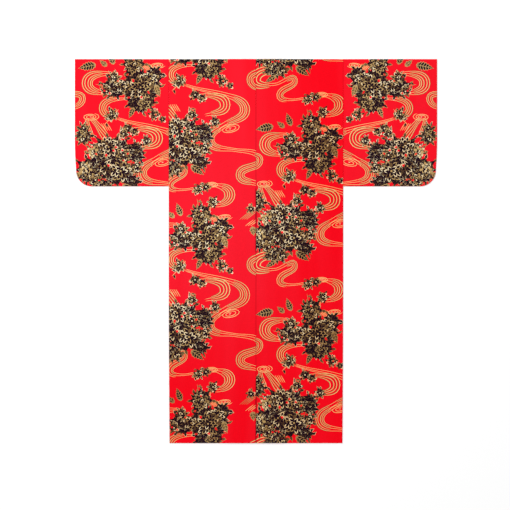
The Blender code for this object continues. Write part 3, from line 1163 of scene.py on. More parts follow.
# Each crease: x, y, half width, half length, how far it leans for each metre, and height
CREASES = [
    Crease(-0.232, 0.560, 0.015, 0.170, 0.02, 0.0007),
    Crease(-0.205, 0.500, 0.012, 0.210, -0.03, -0.0003),
    Crease(-0.176, 0.540, 0.018, 0.150, 0.01, 0.0006),
    Crease(-0.110, 0.330, 0.022, 0.190, 0.04, 0.0006),
    Crease(-0.062, 0.260, 0.014, 0.150, 0.02, -0.0003),
    Crease(-0.040, 0.080, 0.017, 0.200, -0.02, 0.0008),
    Crease(-0.280, 0.060, 0.016, 0.180, 0.03, 0.0005),
    Crease(-0.155, -0.120, 0.020, 0.160, -0.03, 0.0006),
    Crease(-0.075, -0.300, 0.018, 0.220, 0.02, 0.0007),
    Crease(-0.250, -0.480, 0.021, 0.190, 0.03, 0.0005),
    Crease(-0.120, -0.590, 0.016, 0.130, -0.02, 0.0006),
    Crease(0.050, 0.420, 0.018, 0.200, 0.02, 0.0006),
    Crease(0.120, 0.620, 0.015, 0.100, -0.04, 0.0005),
    Crease(0.185, 0.230, 0.020, 0.170, 0.02, 0.0006),
    Crease(0.290, 0.110, 0.015, 0.200, -0.02, 0.0007),
    Crease(0.140, -0.060, 0.022, 0.150, 0.03, 0.0004),
    Crease(0.060, -0.250, 0.016, 0.190, -0.02, 0.0006),
    Crease(0.225, -0.390, 0.019, 0.210, 0.02, 0.0006),
    Crease(0.300, -0.620, 0.017, 0.110, 0.03, 0.0005),
    Crease(0.095, -0.640, 0.015, 0.090, -0.03, 0.0005),
    Crease(-0.400, 0.620, 0.016, 0.110, 0.03, 0.0006),
    Crease(-0.520, 0.460, 0.018, 0.140, -0.03, 0.0005),
    Crease(-0.630, 0.560, 0.014, 0.120, 0.02, 0.0006),
    Crease(0.400, 0.420, 0.017, 0.130, 0.03, 0.0005),
    Crease(0.500, 0.600, 0.015, 0.120, -0.02, 0.0006),
    Crease(0.625, 0.470, 0.018, 0.130, 0.02, 0.0005),
]


@dataclass(frozen=True)
class Edge:
    """A stretch of a piece's edge: how far it turns in and how strongly the seam beside it shades it."""

    line: list[Point]
    roll: float = 0.0003
    shade: float = 0.15
    reach: float = 0.0026

    def near(self, flat: np.ndarray) -> np.ndarray:
        """How near each flat place is, from 0 out of reach to 1 on the edge."""
        return 1 - soft_step(distance_to(self.line, flat) / self.reach)


class Helper:
    """A node tree that is filled in a few words."""

    def __init__(self, tree: bpy.types.NodeTree) -> None:
        """Args: tree: The tree to fill."""
        self.tree = tree

    def add(self, kind: str, settings: dict | None = None, **inputs: object) -> bpy.types.Node:
        """Adds a node.

        Args:
            kind: The node's type.
            settings: Properties of the node.
            inputs: Values or sockets for its inputs, named with _ for a space or numbered after i.

        Returns:
            The new node.
        """
        node = self.tree.nodes.new(kind)
        for name, value in (settings or {}).items():
            setattr(node, name, value)
        for name, value in inputs.items():
            key = int(name[1:]) if name[0] == "i" and name[1:].isdigit() else name.replace("_", " ")
            if isinstance(value, bpy.types.NodeSocket):
                self.tree.links.new(value, node.inputs[key])
            else:
                node.inputs[key].default_value = value
        return node

    def math(self, operation: str, first: bpy.types.NodeSocket | float,
             second: bpy.types.NodeSocket | float = 0.0) -> bpy.types.NodeSocket:
        """Output of a Math node."""
        return self.add("ShaderNodeMath", {"operation": operation}, i0=first, i1=second).outputs[0]


def group_tree(name: str, inputs: list[tuple[str, str, object]],
               outputs: list[tuple[str, str]]) -> tuple[Helper, bpy.types.Node, bpy.types.Node]:
    """Starts a shader node group.

    Args:
        name: The group's name.
        inputs: Each input's name, socket type and default.
        outputs: Each output's name and socket type.

    Returns:
        The tree's helper, its input node and its output node.
    """
    tree = bpy.data.node_groups.new(name, "ShaderNodeTree")
    for label, kind, default in inputs:
        tree.interface.new_socket(label, in_out="INPUT", socket_type=kind).default_value = default
    for label, kind in outputs:
        tree.interface.new_socket(label, in_out="OUTPUT", socket_type=kind)
    helper = Helper(tree)
    return helper, helper.add("NodeGroupInput"), helper.add("NodeGroupOutput")


class CottonWeave:
    """Plain weave of the cotton: crossing threads, slubs and the yarn's own unevenness."""

    SLUB_SCALES = ((2600.0, 60.0, 2600.0), (60.0, 2600.0, 2600.0))
    CROSSING_DEPTH = 0.25

    def __init__(self) -> None:
        """Builds the group."""
        number, vector = "NodeSocketFloat", "NodeSocketVector"
        helper, given, out = group_tree(
            "cotton_weave",
            [("Place", vector, (0.0, 0.0, 0.0)), ("Thread Pitch", number, 0.0006),
             ("Slub Depth", number, 0.35)],
            [("Height", number), ("Thread Shade", number)])
        place = helper.add("ShaderNodeSeparateXYZ", Vector=given.outputs["Place"])
        pace = helper.math("DIVIDE", math.pi, given.outputs["Thread Pitch"])
        warp = helper.math("SINE", helper.math("MULTIPLY", place.outputs["X"], pace))
        weft = helper.math("SINE", helper.math("MULTIPLY", place.outputs["Y"], pace))
        crossing = helper.math("MULTIPLY", warp, weft)
        slubs = []
        for scale in self.SLUB_SCALES:
            lie = helper.add("ShaderNodeMapping", Vector=given.outputs["Place"], Scale=scale)
            noise = helper.add("ShaderNodeTexNoise", Vector=lie.outputs[0], Scale=1.0, Detail=2.0)
            slubs.append(helper.math("SUBTRACT", noise.outputs["Fac"], 0.5))
        slub = helper.math("MULTIPLY", helper.math("ADD", *slubs), given.outputs["Slub Depth"])
        height = helper.math("ADD", helper.math("MULTIPLY", crossing, self.CROSSING_DEPTH), slub)
        helper.tree.links.new(height, out.inputs["Height"])
        helper.tree.links.new(slub, out.inputs["Thread Shade"])
        self.tree = helper.tree


class DyeWithPaintedLight:
    """A dye's colour with painted light: broad soft streaks and wider patches of painted sheen, the dye's own
    fine mottle, and painted shade beside the seams.
    """

    SHEEN_BAND_SCALE = (15.0, 1.4, 1.0)
    SHEEN_BAND_PLACE = (3.1, 0.6, 0.0)
    SHEEN_BAND_RANGE = (0.42, 0.72)
    PAINTED_SHEEN_STRENGTH = 0.8
    MOTTLE_SCALE = 260.0

    def __init__(self) -> None:
        """Builds the group."""
        number, colour, vector = "NodeSocketFloat", "NodeSocketColor", "NodeSocketVector"
        helper, given, out = group_tree(
            "dye_with_painted_light",
            [("Place", vector, (0.0, 0.0, 0.0)), ("Dye", colour, (1.0, 0.0, 0.0, 1.0)),
             ("Pale Dye", colour, (1.0, 0.1, 0.1, 1.0)), ("Seam Dye", colour, (0.1, 0.0, 0.0, 1.0)),
             ("Band Strength", number, 0.5), ("Mottle", number, 0.1), ("Thread Shade", number, 0.0)],
            [("Color", colour)])
        # Painted sheen: broad soft streaks along the cloth pale the colour, as light on faint folds would
        bands = helper.add("ShaderNodeMapping", Vector=given.outputs["Place"], Scale=self.SHEEN_BAND_SCALE,
                           Location=self.SHEEN_BAND_PLACE)
        band = helper.add("ShaderNodeTexNoise", Vector=bands.outputs[0], Scale=1.0, Detail=1.5)
        band = helper.add("ShaderNodeMapRange", Value=band.outputs["Fac"], From_Min=self.SHEEN_BAND_RANGE[0],
                          From_Max=self.SHEEN_BAND_RANGE[1])
        amount = helper.math("MULTIPLY", band.outputs[0], given.outputs["Band Strength"])
        # Painted sheen: the colour turns towards its pale copy by the point attribute, most on the upper left
        # and in the sleeves
        sheen_share = helper.add("ShaderNodeAttribute", {"attribute_name": "painted_sheen"})
        amount = helper.math("ADD", helper.math("MULTIPLY", sheen_share.outputs["Fac"], self.PAINTED_SHEEN_STRENGTH), amount)
        tint = helper.add("ShaderNodeMix", {"data_type": "RGBA"}, i0=amount,
                          i6=given.outputs["Dye"], i7=given.outputs["Pale Dye"])
        spots = helper.add("ShaderNodeTexNoise", Vector=given.outputs["Place"], Scale=self.MOTTLE_SCALE,
                           Detail=3.0)
        mottle = helper.math("MULTIPLY", helper.math("SUBTRACT", spots.outputs["Fac"], 0.5),
                             given.outputs["Mottle"])
        level = helper.math("ADD", 1.0, helper.math("ADD", mottle, given.outputs["Thread Shade"]))
        scaled = helper.add("ShaderNodeVectorMath", {"operation": "SCALE"}, i0=tint.outputs[2], Scale=level)
        # Painted shade: beside seams and edges the colour turns towards the dark seam colour, as much as the
        # seam_shade attribute says
        shade = helper.add("ShaderNodeAttribute", {"attribute_name": "seam_shade"})
        result = helper.add("ShaderNodeMix", {"data_type": "RGBA"}, i0=shade.outputs["Fac"],
                            i6=scaled.outputs[0], i7=given.outputs["Seam Dye"])
        helper.tree.links.new(result.outputs[2], out.inputs["Color"])
        self.tree = helper.tree


@dataclass(frozen=True)
class CottonFinish:
    """One dye of the printed cotton.

    Attributes:
        name: The material's name.
        colour: The dye.
        pale: The colour painted where sheen pales the cloth.
        seam: The colour painted as shade beside a seam.
        bands: How strongly the soft streaks of painted sheen show.
        mottle: How strongly the fine mottle shows.
        roughness: The cloth's roughness.
        roughness_spread: How much of the threads' shade goes into the roughness.
        bump: How strongly the weave shows.
        bump_depth: The weave's depth.
        specular: How much the cloth reflects.
        sheen: The nap's sheen.
        sheen_roughness: The sheen's roughness.
    """

    name: str
    colour: tuple[float, float, float]
    pale: tuple[float, float, float]
    seam: tuple[float, float, float] = (0.085, 0.0006, 0.0020)
    bands: float = 0.5
    mottle: float = 0.10
    roughness: float = 0.80
    roughness_spread: float = 0.4
    bump: float = 0.25
    bump_depth: float = 0.0002
    specular: float = 0.03
    sheen: float = 0.01
    sheen_roughness: float = 0.5

    def material(self, weave: CottonWeave, spread: DyeWithPaintedLight) -> bpy.types.Material:
        """Builds the material.

        Args:
            weave: The weave's group.
            spread: The group that gives the dye's colour with its painted sheen and shade.

        Returns:
            The finished material.
        """
        material = bpy.data.materials.new(self.name)
        material.use_nodes = True
        helper = Helper(material.node_tree)
        shader = material.node_tree.nodes["Principled BSDF"]
        place = helper.add("ShaderNodeTexCoord").outputs["Object"]
        threads = helper.add("ShaderNodeGroup", {"node_tree": weave.tree}, Place=place)
        dye = helper.add("ShaderNodeGroup", {"node_tree": spread.tree}, Place=place, Dye=(*self.colour, 1.0),
                         Pale_Dye=(*self.pale, 1.0), Seam_Dye=(*self.seam, 1.0), Band_Strength=self.bands,
                         Mottle=self.mottle, Thread_Shade=threads.outputs["Thread Shade"])
        links = material.node_tree.links
        links.new(dye.outputs["Color"], shader.inputs["Base Color"])
        uneven = helper.math("MULTIPLY", threads.outputs["Thread Shade"], self.roughness_spread)
        links.new(helper.math("ADD", self.roughness, uneven), shader.inputs["Roughness"])
        bump = helper.add("ShaderNodeBump", Strength=self.bump, Distance=self.bump_depth,
                          Height=threads.outputs["Height"])
        links.new(bump.outputs[0], shader.inputs["Normal"])
        shader.inputs["Specular IOR Level"].default_value = self.specular
        shader.inputs["Sheen Weight"].default_value = self.sheen
        shader.inputs["Sheen Roughness"].default_value = self.sheen_roughness
        return material


# Each dye has a pale copy, painted where sheen falls, and a dark copy, painted as shade beside the seams
FINISHES = {
    Dye.GROUND: CottonFinish("red_ground", (0.835, 0.0008, 0.0080), (0.840, 0.0130, 0.0290), bands=0.22),
    Dye.PLUM: CottonFinish("plum_black_dye", (0.0085, 0.0015, 0.0060), (0.016, 0.005, 0.011),
                           (0.004, 0.001, 0.002)),
    Dye.CREAM: CottonFinish("cream_dye", (0.760, 0.510, 0.255), (0.950, 0.820, 0.540), (0.10, 0.06, 0.02)),
    Dye.GOLD: CottonFinish("gold_dye", (0.335, 0.178, 0.058), (0.600, 0.410, 0.170), (0.08, 0.04, 0.012)),
    Dye.OLIVE: CottonFinish("olive_dye", (0.092, 0.040, 0.016), (0.190, 0.110, 0.045), (0.03, 0.02, 0.008)),
    Dye.WATER: CottonFinish("water_gold_dye", (0.850, 0.450, 0.160), (0.930, 0.590, 0.250),
                            (0.14, 0.04, 0.01)),
    Dye.REVERSE: CottonFinish("reverse_side", (0.560, 0.0180, 0.0300), (0.620, 0.0250, 0.0400)),
}
THREAD = CottonFinish("red_thread", (0.780, 0.0040, 0.0130), (0.860, 0.008, 0.020), mottle=0.2,
                      roughness=0.6)

# Where the repeat's two centres fall on each piece, in drawing units
PRINT_CENTRES = {
    "body_left": ((205.0, 50.0), (180.0, 139.0)),
    "body_right": ((315.0, 145.0), (285.0, 225.0)),
    "sleeve_left": ((137.5, 83.5), (111.5, 158.0)),
    "sleeve_right": ((137.5, 83.5), (111.5, 158.0)),
    "overlap_left": ((262.0, 20.0), (270.0, -72.0)),
    "overlap_right": ((246.0, -30.0), (236.0, 62.0)),
    "collar": ((238.0, -40.0), (270.0, 44.0)),
}


@dataclass
class ClothPanel:
    """One cut and sewn piece of the garment, from its flat outline to its place.

    Attributes:
        name: The piece's name, which its solid has too.
        outline: The flat outline, counter-clockwise, in x and w.
        layout: Where the print falls on it.
        edges: How its edges turn in and shade.
        rests_on: What it lies on; not used.
        thickness: The cloth's thickness.
        free_half_width: How far from the middle the cloth ends at the shoulder in place of folding over.
        tile_columns: Columns of the bake's layout.
        tile_count: Tiles of the bake's layout.
    """

    name: str
    outline: list[Point]
    layout: PrintedCloth
    edges: list[Edge]
    rests_on: list[str] = field(default_factory=list)
    thickness: float = CLOTH
    free_half_width: float = 0.0
    tile_columns: int = 2
    tile_count: int = 2

    def __post_init__(self) -> None:
        """Measures the solid that the cloth lies on."""
        solid = Solid(self.name)
        places = np.array(self.outline)
        self.flat_low, self.flat_high = places.min(axis=0), places.max(axis=0)
        sides = self.leaned(places[:, 0], places[:, 1])
        low, high = float(sides.min()), float(sides.max())
        self.back_length = max(0.0, -self.flat_low[1])
        self.front_length = max(0.0, self.flat_high[1])
        self.upper = self.lower = None
        if self.back_length:
            self.upper = HeightField(solid.top, (low, TOP - self.back_length), (high, TOP))
        if self.front_length:
            self.lower = HeightField(solid.underside, (low, TOP - self.front_length), (high, TOP))

    def leaned(self, x: np.ndarray, w: np.ndarray) -> np.ndarray:
        """Place across of flat cloth, where it leans."""
        return x

    def under_height(self, x: np.ndarray, across: np.ndarray, y: np.ndarray) -> np.ndarray:
        """Height of the front's outer side, which faces down."""
        return self.lower.at(across, y) if self.lower else np.zeros(len(x))

    def over_height(self, across: np.ndarray, y: np.ndarray) -> np.ndarray:
        """Finds the height of the back's outer side, with its creases.

        Args:
            across: The places across.
            y: The places along.

        Returns:
            The height at each place.
        """
        if not self.upper:
            return np.zeros(len(across))
        height = self.upper.at(across, y)
        for crease in self.creases():
            height = height + crease.rise(across, y)
        return height

    def creases(self) -> list[Crease]:
        """Creases that show in this piece."""
        return CREASES

    def placed(self, flat: np.ndarray, depth: float) -> np.ndarray:
        """Puts flat cloth in place.

        Args:
            flat: Places on the flat cloth, x and w.
            depth: How far below the outer side the points lie.

        Returns:
            The points in metres.
        """
        x, w = flat[:, 0], flat[:, 1]
        across = self.leaned(x, w)
        run = np.abs(w)
        turn = np.clip(w / FOLD_RUN, -1, 1) * np.pi / 2
        folds = bool(self.upper and self.lower)
        if folds:
            y = TOP - FOLD_REACH + (FOLD_REACH - min(depth, DEEPEST_SHARE * FOLD_REACH)) * np.cos(turn)
            total = np.where(w < 0, self.back_length, self.front_length)
            y = np.where(run > FOLD_RUN, TOP - FOLD_REACH - (run - FOLD_RUN)
                         * (total - FOLD_REACH) / (total - FOLD_RUN), y)
        else:
            y = TOP - run
        over, under = self.over_height(across, y), self.under_height(x, across, y)
        turning_in = self.edge_roll(flat)
        if folds:
            free = soft_step((self.free_half_width + NECK_BLEND - np.abs(x)) / NECK_BLEND)
            if not self.free_half_width:
                free = np.zeros(len(x))
            held = np.where(w > 0, np.cos(turn) ** 2, 1.0) * free
            under = np.where(run < FOLD_RUN, under + (over - NECK_EDGE - under) * held, under)
            half = (over - under) / 2 - depth - turning_in
            z = (over + under) / 2 - np.sin(turn) * half
        elif self.upper:
            z = over - depth - turning_in
        else:
            z = under + depth + turning_in
        return np.column_stack([across, y, z])

    def edge_roll(self, flat: np.ndarray) -> np.ndarray:
        """How far the cloth turns in at each flat place."""
        return np.max([edge.roll * edge.near(flat) for edge in self.edges], axis=0)

    def seam_shade(self, flat: np.ndarray) -> np.ndarray:
        """How strongly the seams shade each flat place."""
        return np.max([edge.shade * edge.near(flat) for edge in self.edges], axis=0)

    def painted_sheen(self, points: np.ndarray) -> np.ndarray:
        """How strongly painted sheen pales the cloth at each point: most in the sleeves, least at the hem and
        the right side.
        """
        return np.interp(points[:, 0], *SHEEN_ACROSS) * np.interp(points[:, 1], *SHEEN_ALONG)

    def cut_lines(self) -> list[float]:
        """Finds where the mesh is cut across, for the fold and for the bake's tiles.

        Returns:
            The heights w of the cuts.
        """
        length = self.back_length + self.front_length
        tiles = [-self.back_length + length * i / self.tile_count for i in range(1, self.tile_count)]
        if not (self.upper and self.lower):
            return tiles
        folds = [FOLD_RUN * share for share in FOLD_SHARES]
        return folds + [w for w in tiles if abs(w) > 2 * FOLD_RUN]

    def outer_mesh(self) -> tuple[np.ndarray, np.ndarray, np.ndarray]:
        """Cuts the printed side into triangles along the print's outlines.

        Returns:
            Flat places, triangles and each triangle's dye.
        """
        border = divided(self.outline, EDGE_STEP)
        points = [Vector(p) for p in border]
        faces = [list(range(len(border)))]
        lines: list[tuple[int, int]] = []
        for distance in EDGE_ROWS:
            start = len(points)
            ring = inset(border, distance)
            points += [Vector(p) for p in ring]
            lines += [(start + i, start + (i + 1) % len(ring)) for i in range(len(ring))]
        count = math.ceil((self.flat_high[0] - self.flat_low[0]) / EDGE_STEP)
        across = np.linspace(self.flat_low[0] - CUT_OVERRUN, self.flat_high[0] + CUT_OVERRUN, count)
        for w in self.cut_lines():
            start = len(points)
            points += [Vector((x, w)) for x in across]
            lines += [(i, i + 1) for i in range(start, len(points) - 1)]
        points += [Vector(p) for p in self.relief_points(border, RELIEF_STEP)]
        dyes = [Dye.GROUND]
        for dye, loop in self.layout.patches(tuple(self.flat_low), tuple(self.flat_high)):
            faces.append(list(range(len(points), len(points) + len(loop))))
            points += [Vector(p) for p in loop]
            dyes.append(dye)
        placed, _, triangles, _, _, sources = delaunay_2d_cdt(points, lines, faces, ONLY_INSIDE, SAME_PLACE)
        flat = np.array([tuple(p) for p in placed])
        loops = (points[face[0]:face[-1] + 1] for face in faces)
        reaches = [(min(xs), max(xs), min(ws), max(ws)) for xs, ws in (zip(*loop) for loop in loops)]
        kept = []
        for triangle, source in zip(triangles, sources):
            if 0 not in source:
                continue
            x, w = flat[triangle].mean(axis=0)
            # Otherwise a whole strip can come out in one dye, so each region counts only within its reach
            tops = [i for i in source
                    if reaches[i][0] <= x <= reaches[i][1] and reaches[i][2] <= w <= reaches[i][3]]
            kept.append((triangle, max(tops, default=0)))
        triangles = np.array([triangle for triangle, _ in kept])
        used, triangles = np.unique(triangles, return_inverse=True)
        return flat[used], triangles.reshape(-1, 3), np.array([dyes[top].value for _, top in kept])

    def relief_points(self, border: list[Point], step: float) -> np.ndarray:
        """Spreads places inside the outline.

        Args:
            border: The outline's points.
            step: Their longest spacing.

        Returns:
            The places that are clear of the edge.
        """
        counts = np.ceil((self.flat_high - self.flat_low) / step).astype(int)
        xs = np.linspace(self.flat_low[0], self.flat_high[0], counts[0] + 1)[1:-1]
        ws = np.linspace(self.flat_low[1], self.flat_high[1], counts[1] + 1)[1:-1]
        grid = np.array([(x, w) for x in xs for w in ws])
        loop = np.array(border)
        clear = inside(loop, grid)
        clear &= distance_to(border + border[:1], grid) > RELIEF_CLEARANCE
        return grid[clear]

    def border_of(self, triangles: np.ndarray) -> list[int]:
        """Follows the mesh's edge.

        Args:
            triangles: The mesh's triangles.

        Returns:
            Its vertices, in the order in which the triangles run.
        """
        sides = np.vstack([triangles[:, [0, 1]], triangles[:, [1, 2]], triangles[:, [2, 0]]])
        known = {(int(a), int(b)) for a, b in sides}
        ahead = {a: b for a, b in known if (b, a) not in known}
        start = min(ahead)
        loop = [start]
        while ahead[loop[-1]] != start:
            loop.append(ahead[loop[-1]])
        if len(loop) != len(ahead):
            log.warning("%s: its edge has %d points, and its loop %d", self.name, len(ahead), len(loop))
        return loop

    def inner_mesh(self, border: np.ndarray) -> tuple[np.ndarray, np.ndarray]:
        """Cuts the plain reverse side into larger triangles.

        Args:
            border: Flat places of the printed side's edge, which both sides share.

        Returns:
            The flat places, the border's first and in its order, and the triangles.
        """
        loop = [tuple(p) for p in border]
        points = [Vector(p) for p in loop]
        lines: list[tuple[int, int]] = []
        if self.upper and self.lower:
            xs = np.arange(self.flat_low[0] + LINING_INSET, self.flat_high[0] - LINING_INSET, LINING_STEP)
            for share in FOLD_SHARES:
                start = len(points)
                line = np.array([(x, share * FOLD_RUN) for x in xs])
                line = line[inside(border, line)]
                points += [Vector(p) for p in line]
                lines += [(i, i + 1) for i in range(start, len(points) - 1)]
        points += [Vector(p) for p in self.relief_points(loop, LINING_STEP)]
        placed, _, triangles, origins, _, _ = delaunay_2d_cdt(
            points, lines, [list(range(len(loop)))], ONLY_INSIDE, EXACT_PLACE)
        places = {index: origin for index, found in enumerate(origins) for origin in found
                  if origin < len(loop)}
        if len(places) != len(loop) or len(set(places.values())) != len(loop):
            log.warning("%s: %d of %d edge points came back", self.name, len(places), len(loop))
        others = [index for index in range(len(placed)) if index not in places]
        places.update(zip(others, range(len(loop), len(placed))))
        moved = np.zeros((len(placed), 2))
        for index, place in places.items():
            moved[place] = tuple(placed[index])
        return moved, np.array([[places[corner] for corner in triangle] for triangle in triangles])

    def tile_places(self, flat: np.ndarray, triangles: np.ndarray) -> np.ndarray:
        """Lays the printed side out in tiles for the bake's image.

        Args:
            flat: The flat places.
            triangles: The printed side's triangles.

        Returns:
            The place of each triangle's corners, in metres before scaling.
        """
        length = self.back_length + self.front_length
        height = length / self.tile_count
        width = self.flat_high[0] - self.flat_low[0]
        middles = flat[triangles].mean(axis=1)
        tile = np.clip(((middles[:, 1] + self.back_length) / height).astype(int), 0, self.tile_count - 1)
        column, row = tile % self.tile_columns, tile // self.tile_columns
        shift = np.column_stack([
            column * (width + TILE_GAP) - self.flat_low[0] + BAKE_MARGIN,
            row * (height + TILE_GAP) + self.back_length - tile * height + BAKE_MARGIN])
        return flat[triangles] + shift[:, None, :]

    def build(self, dyes: list[bpy.types.Material]) -> bpy.types.Object:
        """Makes the finished piece.

        Args:
            dyes: The cloth's materials, in slot order.

        Returns:
            The piece, at the origin.
        """
        flat, outer, dye = self.outer_mesh()
        loop = self.border_of(outer)
        border = flat[loop]
        lining, inner = self.inner_mesh(border)
        away = -(inset([tuple(p) for p in border], RIM_BULGE) - border)
        rim = self.placed(border + away, self.thickness / 2)
        points = np.vstack([self.placed(flat, 0.0), rim, self.placed(lining, self.thickness)])
        shades = self.seam_shade(flat)
        first_rim, first_inner, count = len(flat), len(flat) + len(loop), len(loop)
        faces = [tuple(t) for t in outer] + [tuple(first_inner + t[::-1]) for t in inner]
        for i in range(count):
            j = (i + 1) % count
            faces.append((loop[j], loop[i], first_rim + i, first_rim + j))
            faces.append((first_rim + j, first_rim + i, first_inner + i, first_inner + j))
        mesh = bpy.data.meshes.new(self.name)
        mesh.from_pydata([tuple(p) for p in points], [], [tuple(int(v) for v in face) for face in faces])
        slots = np.concatenate([dye, np.full(len(inner), Dye.REVERSE.value),
                                np.full(2 * count, Dye.GROUND.value)])
        mesh.polygons.foreach_set("material_index", slots.astype(np.int32))
        # Painted shade beside the seams and edges, which the shader mixes into the colour
        shade = mesh.attributes.new("seam_shade", "FLOAT", "POINT")
        values = np.concatenate([shades, self.seam_shade(border), np.zeros(len(lining))])
        shade.data.foreach_set("value", values.astype(np.float32))
        # Painted sheen, strongest in the sleeves and the upper back, fading towards the hem and the right
        # side
        sheen_share = mesh.attributes.new("painted_sheen", "FLOAT", "POINT")
        sheen_share.data.foreach_set("value", self.painted_sheen(points).astype(np.float32))
        self.lay_out_bake(mesh, flat, outer, lining, inner, count)
        mesh.shade_smooth()
        for material in dyes:
            mesh.materials.append(material)
        return in_scene(f"{self.name}_cloth", mesh)

    def lay_out_bake(self, mesh: bpy.types.Mesh, flat: np.ndarray, outer: np.ndarray, lining: np.ndarray,
                     inner: np.ndarray, count: int) -> None:
        """Writes the bake's map: the printed side in tiles, the reverse small above them, the edge last.

        Args:
            mesh: The piece's mesh.
            flat: Flat places of the printed side.
            outer: Its triangles.
            lining: Flat places of the reverse side.
            inner: Its triangles.
            count: How many points the edge has.
        """
        tiles = self.tile_places(flat, outer)
        top = tiles[..., 1].max() + BAND_GAP
        length = self.back_length + self.front_length
        width = tiles[..., 0].max()
        scale = min(REVERSE_SCALE, REVERSE_WIDTH * width / length)
        turned_lining = np.column_stack([(lining[:, 1] + self.back_length) * scale + BAKE_MARGIN,
                                         (lining[:, 0] - self.flat_low[0]) * scale + top])
        reverse = turned_lining[inner[:, ::-1]]
        top += (self.flat_high[0] - self.flat_low[0]) * scale + BAND_GAP
        strip = []
        for i in range(count):
            start, end = BAKE_MARGIN + width * i / count, BAKE_MARGIN + width * (i + 1) / count
            for low in (top, top + BAND_GAP):
                strip += [(end, low), (start, low), (start, low + RIM_BAND), (end, low + RIM_BAND)]
        places = np.vstack([tiles.reshape(-1, 2), reverse.reshape(-1, 2), np.array(strip)])
        places = places / (places.max() + BAKE_MARGIN)
        layer = mesh.uv_layers.new(name="OFBake")
        layer.uv.foreach_set("vector", places.astype(np.float32).ravel())

    def stitch_rows(self) -> list[list[Point]]:
        """Rows of hem stitches on the flat cloth."""
        return []

    def dress(self, piece: bpy.types.Object, sewn_on: list[bpy.types.Object]) -> None:
        """Hangs the piece on the frame's root and hides the solid that it stands for.

        Args:
            piece: The finished piece.
            sewn_on: The stitches on it; not used.
        """
        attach(piece, "root")
        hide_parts(self.name)


def side_line(y: float) -> float:
    """Left side of the body, which draws in a little towards the hem."""
    return -BACK_WIDTH + HEM_TAPER * (max(0.0, -y) / TOP) ** 2


def flipped(points: list[Point]) -> list[Point]:
    """The same loop on the other side, still counter-clockwise."""
    return [(-x, w) for x, w in reversed(points)]


def steps(start: float, end: float, count: int) -> list[float]:
    """Even steps from start to end, both included."""
    return [start + (end - start) * i / count for i in range(count + 1)]


def sided(part: str, outline: list[Point], edges: list[Edge], left: bool) -> dict:
    """Names a left piece and its print, or turns them into those of the right.

    Args:
        part: What the piece is.
        outline: The left piece's outline.
        edges: The left piece's edges.
        left: Whether the piece is on the left.

    Returns:
        The first fields of the piece.
    """
    name = f"{part}_{'left' if left else 'right'}"
    if not left:
        outline, edges = flipped(outline), [replace(edge, line=flipped(edge.line)) for edge in edges]
    layout = PrintedCloth(*PRINT_CENTRES[name], mirrored=name == "sleeve_right")
    return {"name": name, "outline": outline, "layout": layout, "edges": edges}


class BodyPanel(ClothPanel):
    """A body strip: front and back of one side in one length of cloth."""

    # Two stretches of the centre seam get deeper painted shade
    SHADED_SEAM = (-0.74, -0.50)
    SHADED_HEM_START = -1.24

    @classmethod
    def cut(cls, left: bool) -> "BodyPanel":
        """Cuts one body strip.

        Args:
            left: Whether it is the left one.

        Returns:
            The strip.
        """
        centre = -PIECE_GAP / 2
        tip = (FRONT_EDGE - PIECE_GAP + NECK_HALF_WIDTH + PIECE_GAP) / COLLAR_SLOPE
        back_side = [(side_line(TOP + w), w) for w in steps(0.0, -LENGTH, SIDE_STEPS)]
        front_side = [(side_line(TOP - w), w) for w in steps(LENGTH, 0.0, SIDE_STEPS)]
        collar_side = [(-NECK_HALF_WIDTH - PIECE_GAP, 0.0), (FRONT_EDGE, tip)]
        outline = [(centre, -LENGTH), (centre, 0.0)] + collar_side + [(FRONT_EDGE, LENGTH)]
        outline += front_side[:-1] + back_side
        sewn = UNDERARM_OPENING_END
        edges = [
            # Each edge's shade value paints shade beside it; the centre seam's is deepest on the stretches
            # above
            Edge([(centre, -LENGTH), (centre, 0.0)], 0.0005, 0.30, 0.0022),
            Edge([(centre, w) for w in cls.SHADED_SEAM], 0.0005, 0.95, 0.0034),
            Edge([(centre, -LENGTH), (centre, cls.SHADED_HEM_START)], 0.0005, 0.90, 0.0032),
            Edge([p for p in back_side if -p[1] >= sewn], 0.0004, 0.30),
            Edge([p for p in front_side if p[1] >= sewn], 0.0004, 0.30),
            Edge([(-BACK_WIDTH, -SLEEVE_DROP), (-BACK_WIDTH, 0.0)], 0.0004, 0.18, 0.0018),
            Edge([(centre, -LENGTH), (side_line(-TOP), -LENGTH)], 0.0003, 0.20),
            Edge([(FRONT_EDGE, LENGTH), (side_line(-TOP), LENGTH)], 0.0003, 0.20),
            Edge(collar_side + [(FRONT_EDGE, LENGTH)], 0.0003, 0.5),
        ]
        under = ["body_right", "overlap_right", "collar"] if left else ["body_left", "overlap_left", "collar"]
        return cls(**sided("body", outline, edges, left), rests_on=under, free_half_width=NECK_HALF_WIDTH,
                   tile_columns=3, tile_count=6)

    def stitch_rows(self) -> list[list[Point]]:
        """Lays stitches along the back and front hems.

        Returns:
            The rows, as lines on the flat cloth.
        """
        side = 1 if self.name == "body_left" else -1
        row = LENGTH - HEM_ROW
        inner, outer = -side * ROW_INSET, -side * (BACK_WIDTH - HEM_TAPER - ROW_INSET)
        front = -side * (BACK_WIDTH - FRONT_WIDTH + ROW_INSET)
        return [[(inner, -row), (outer, -row)], [(front, row), (outer, row)]]


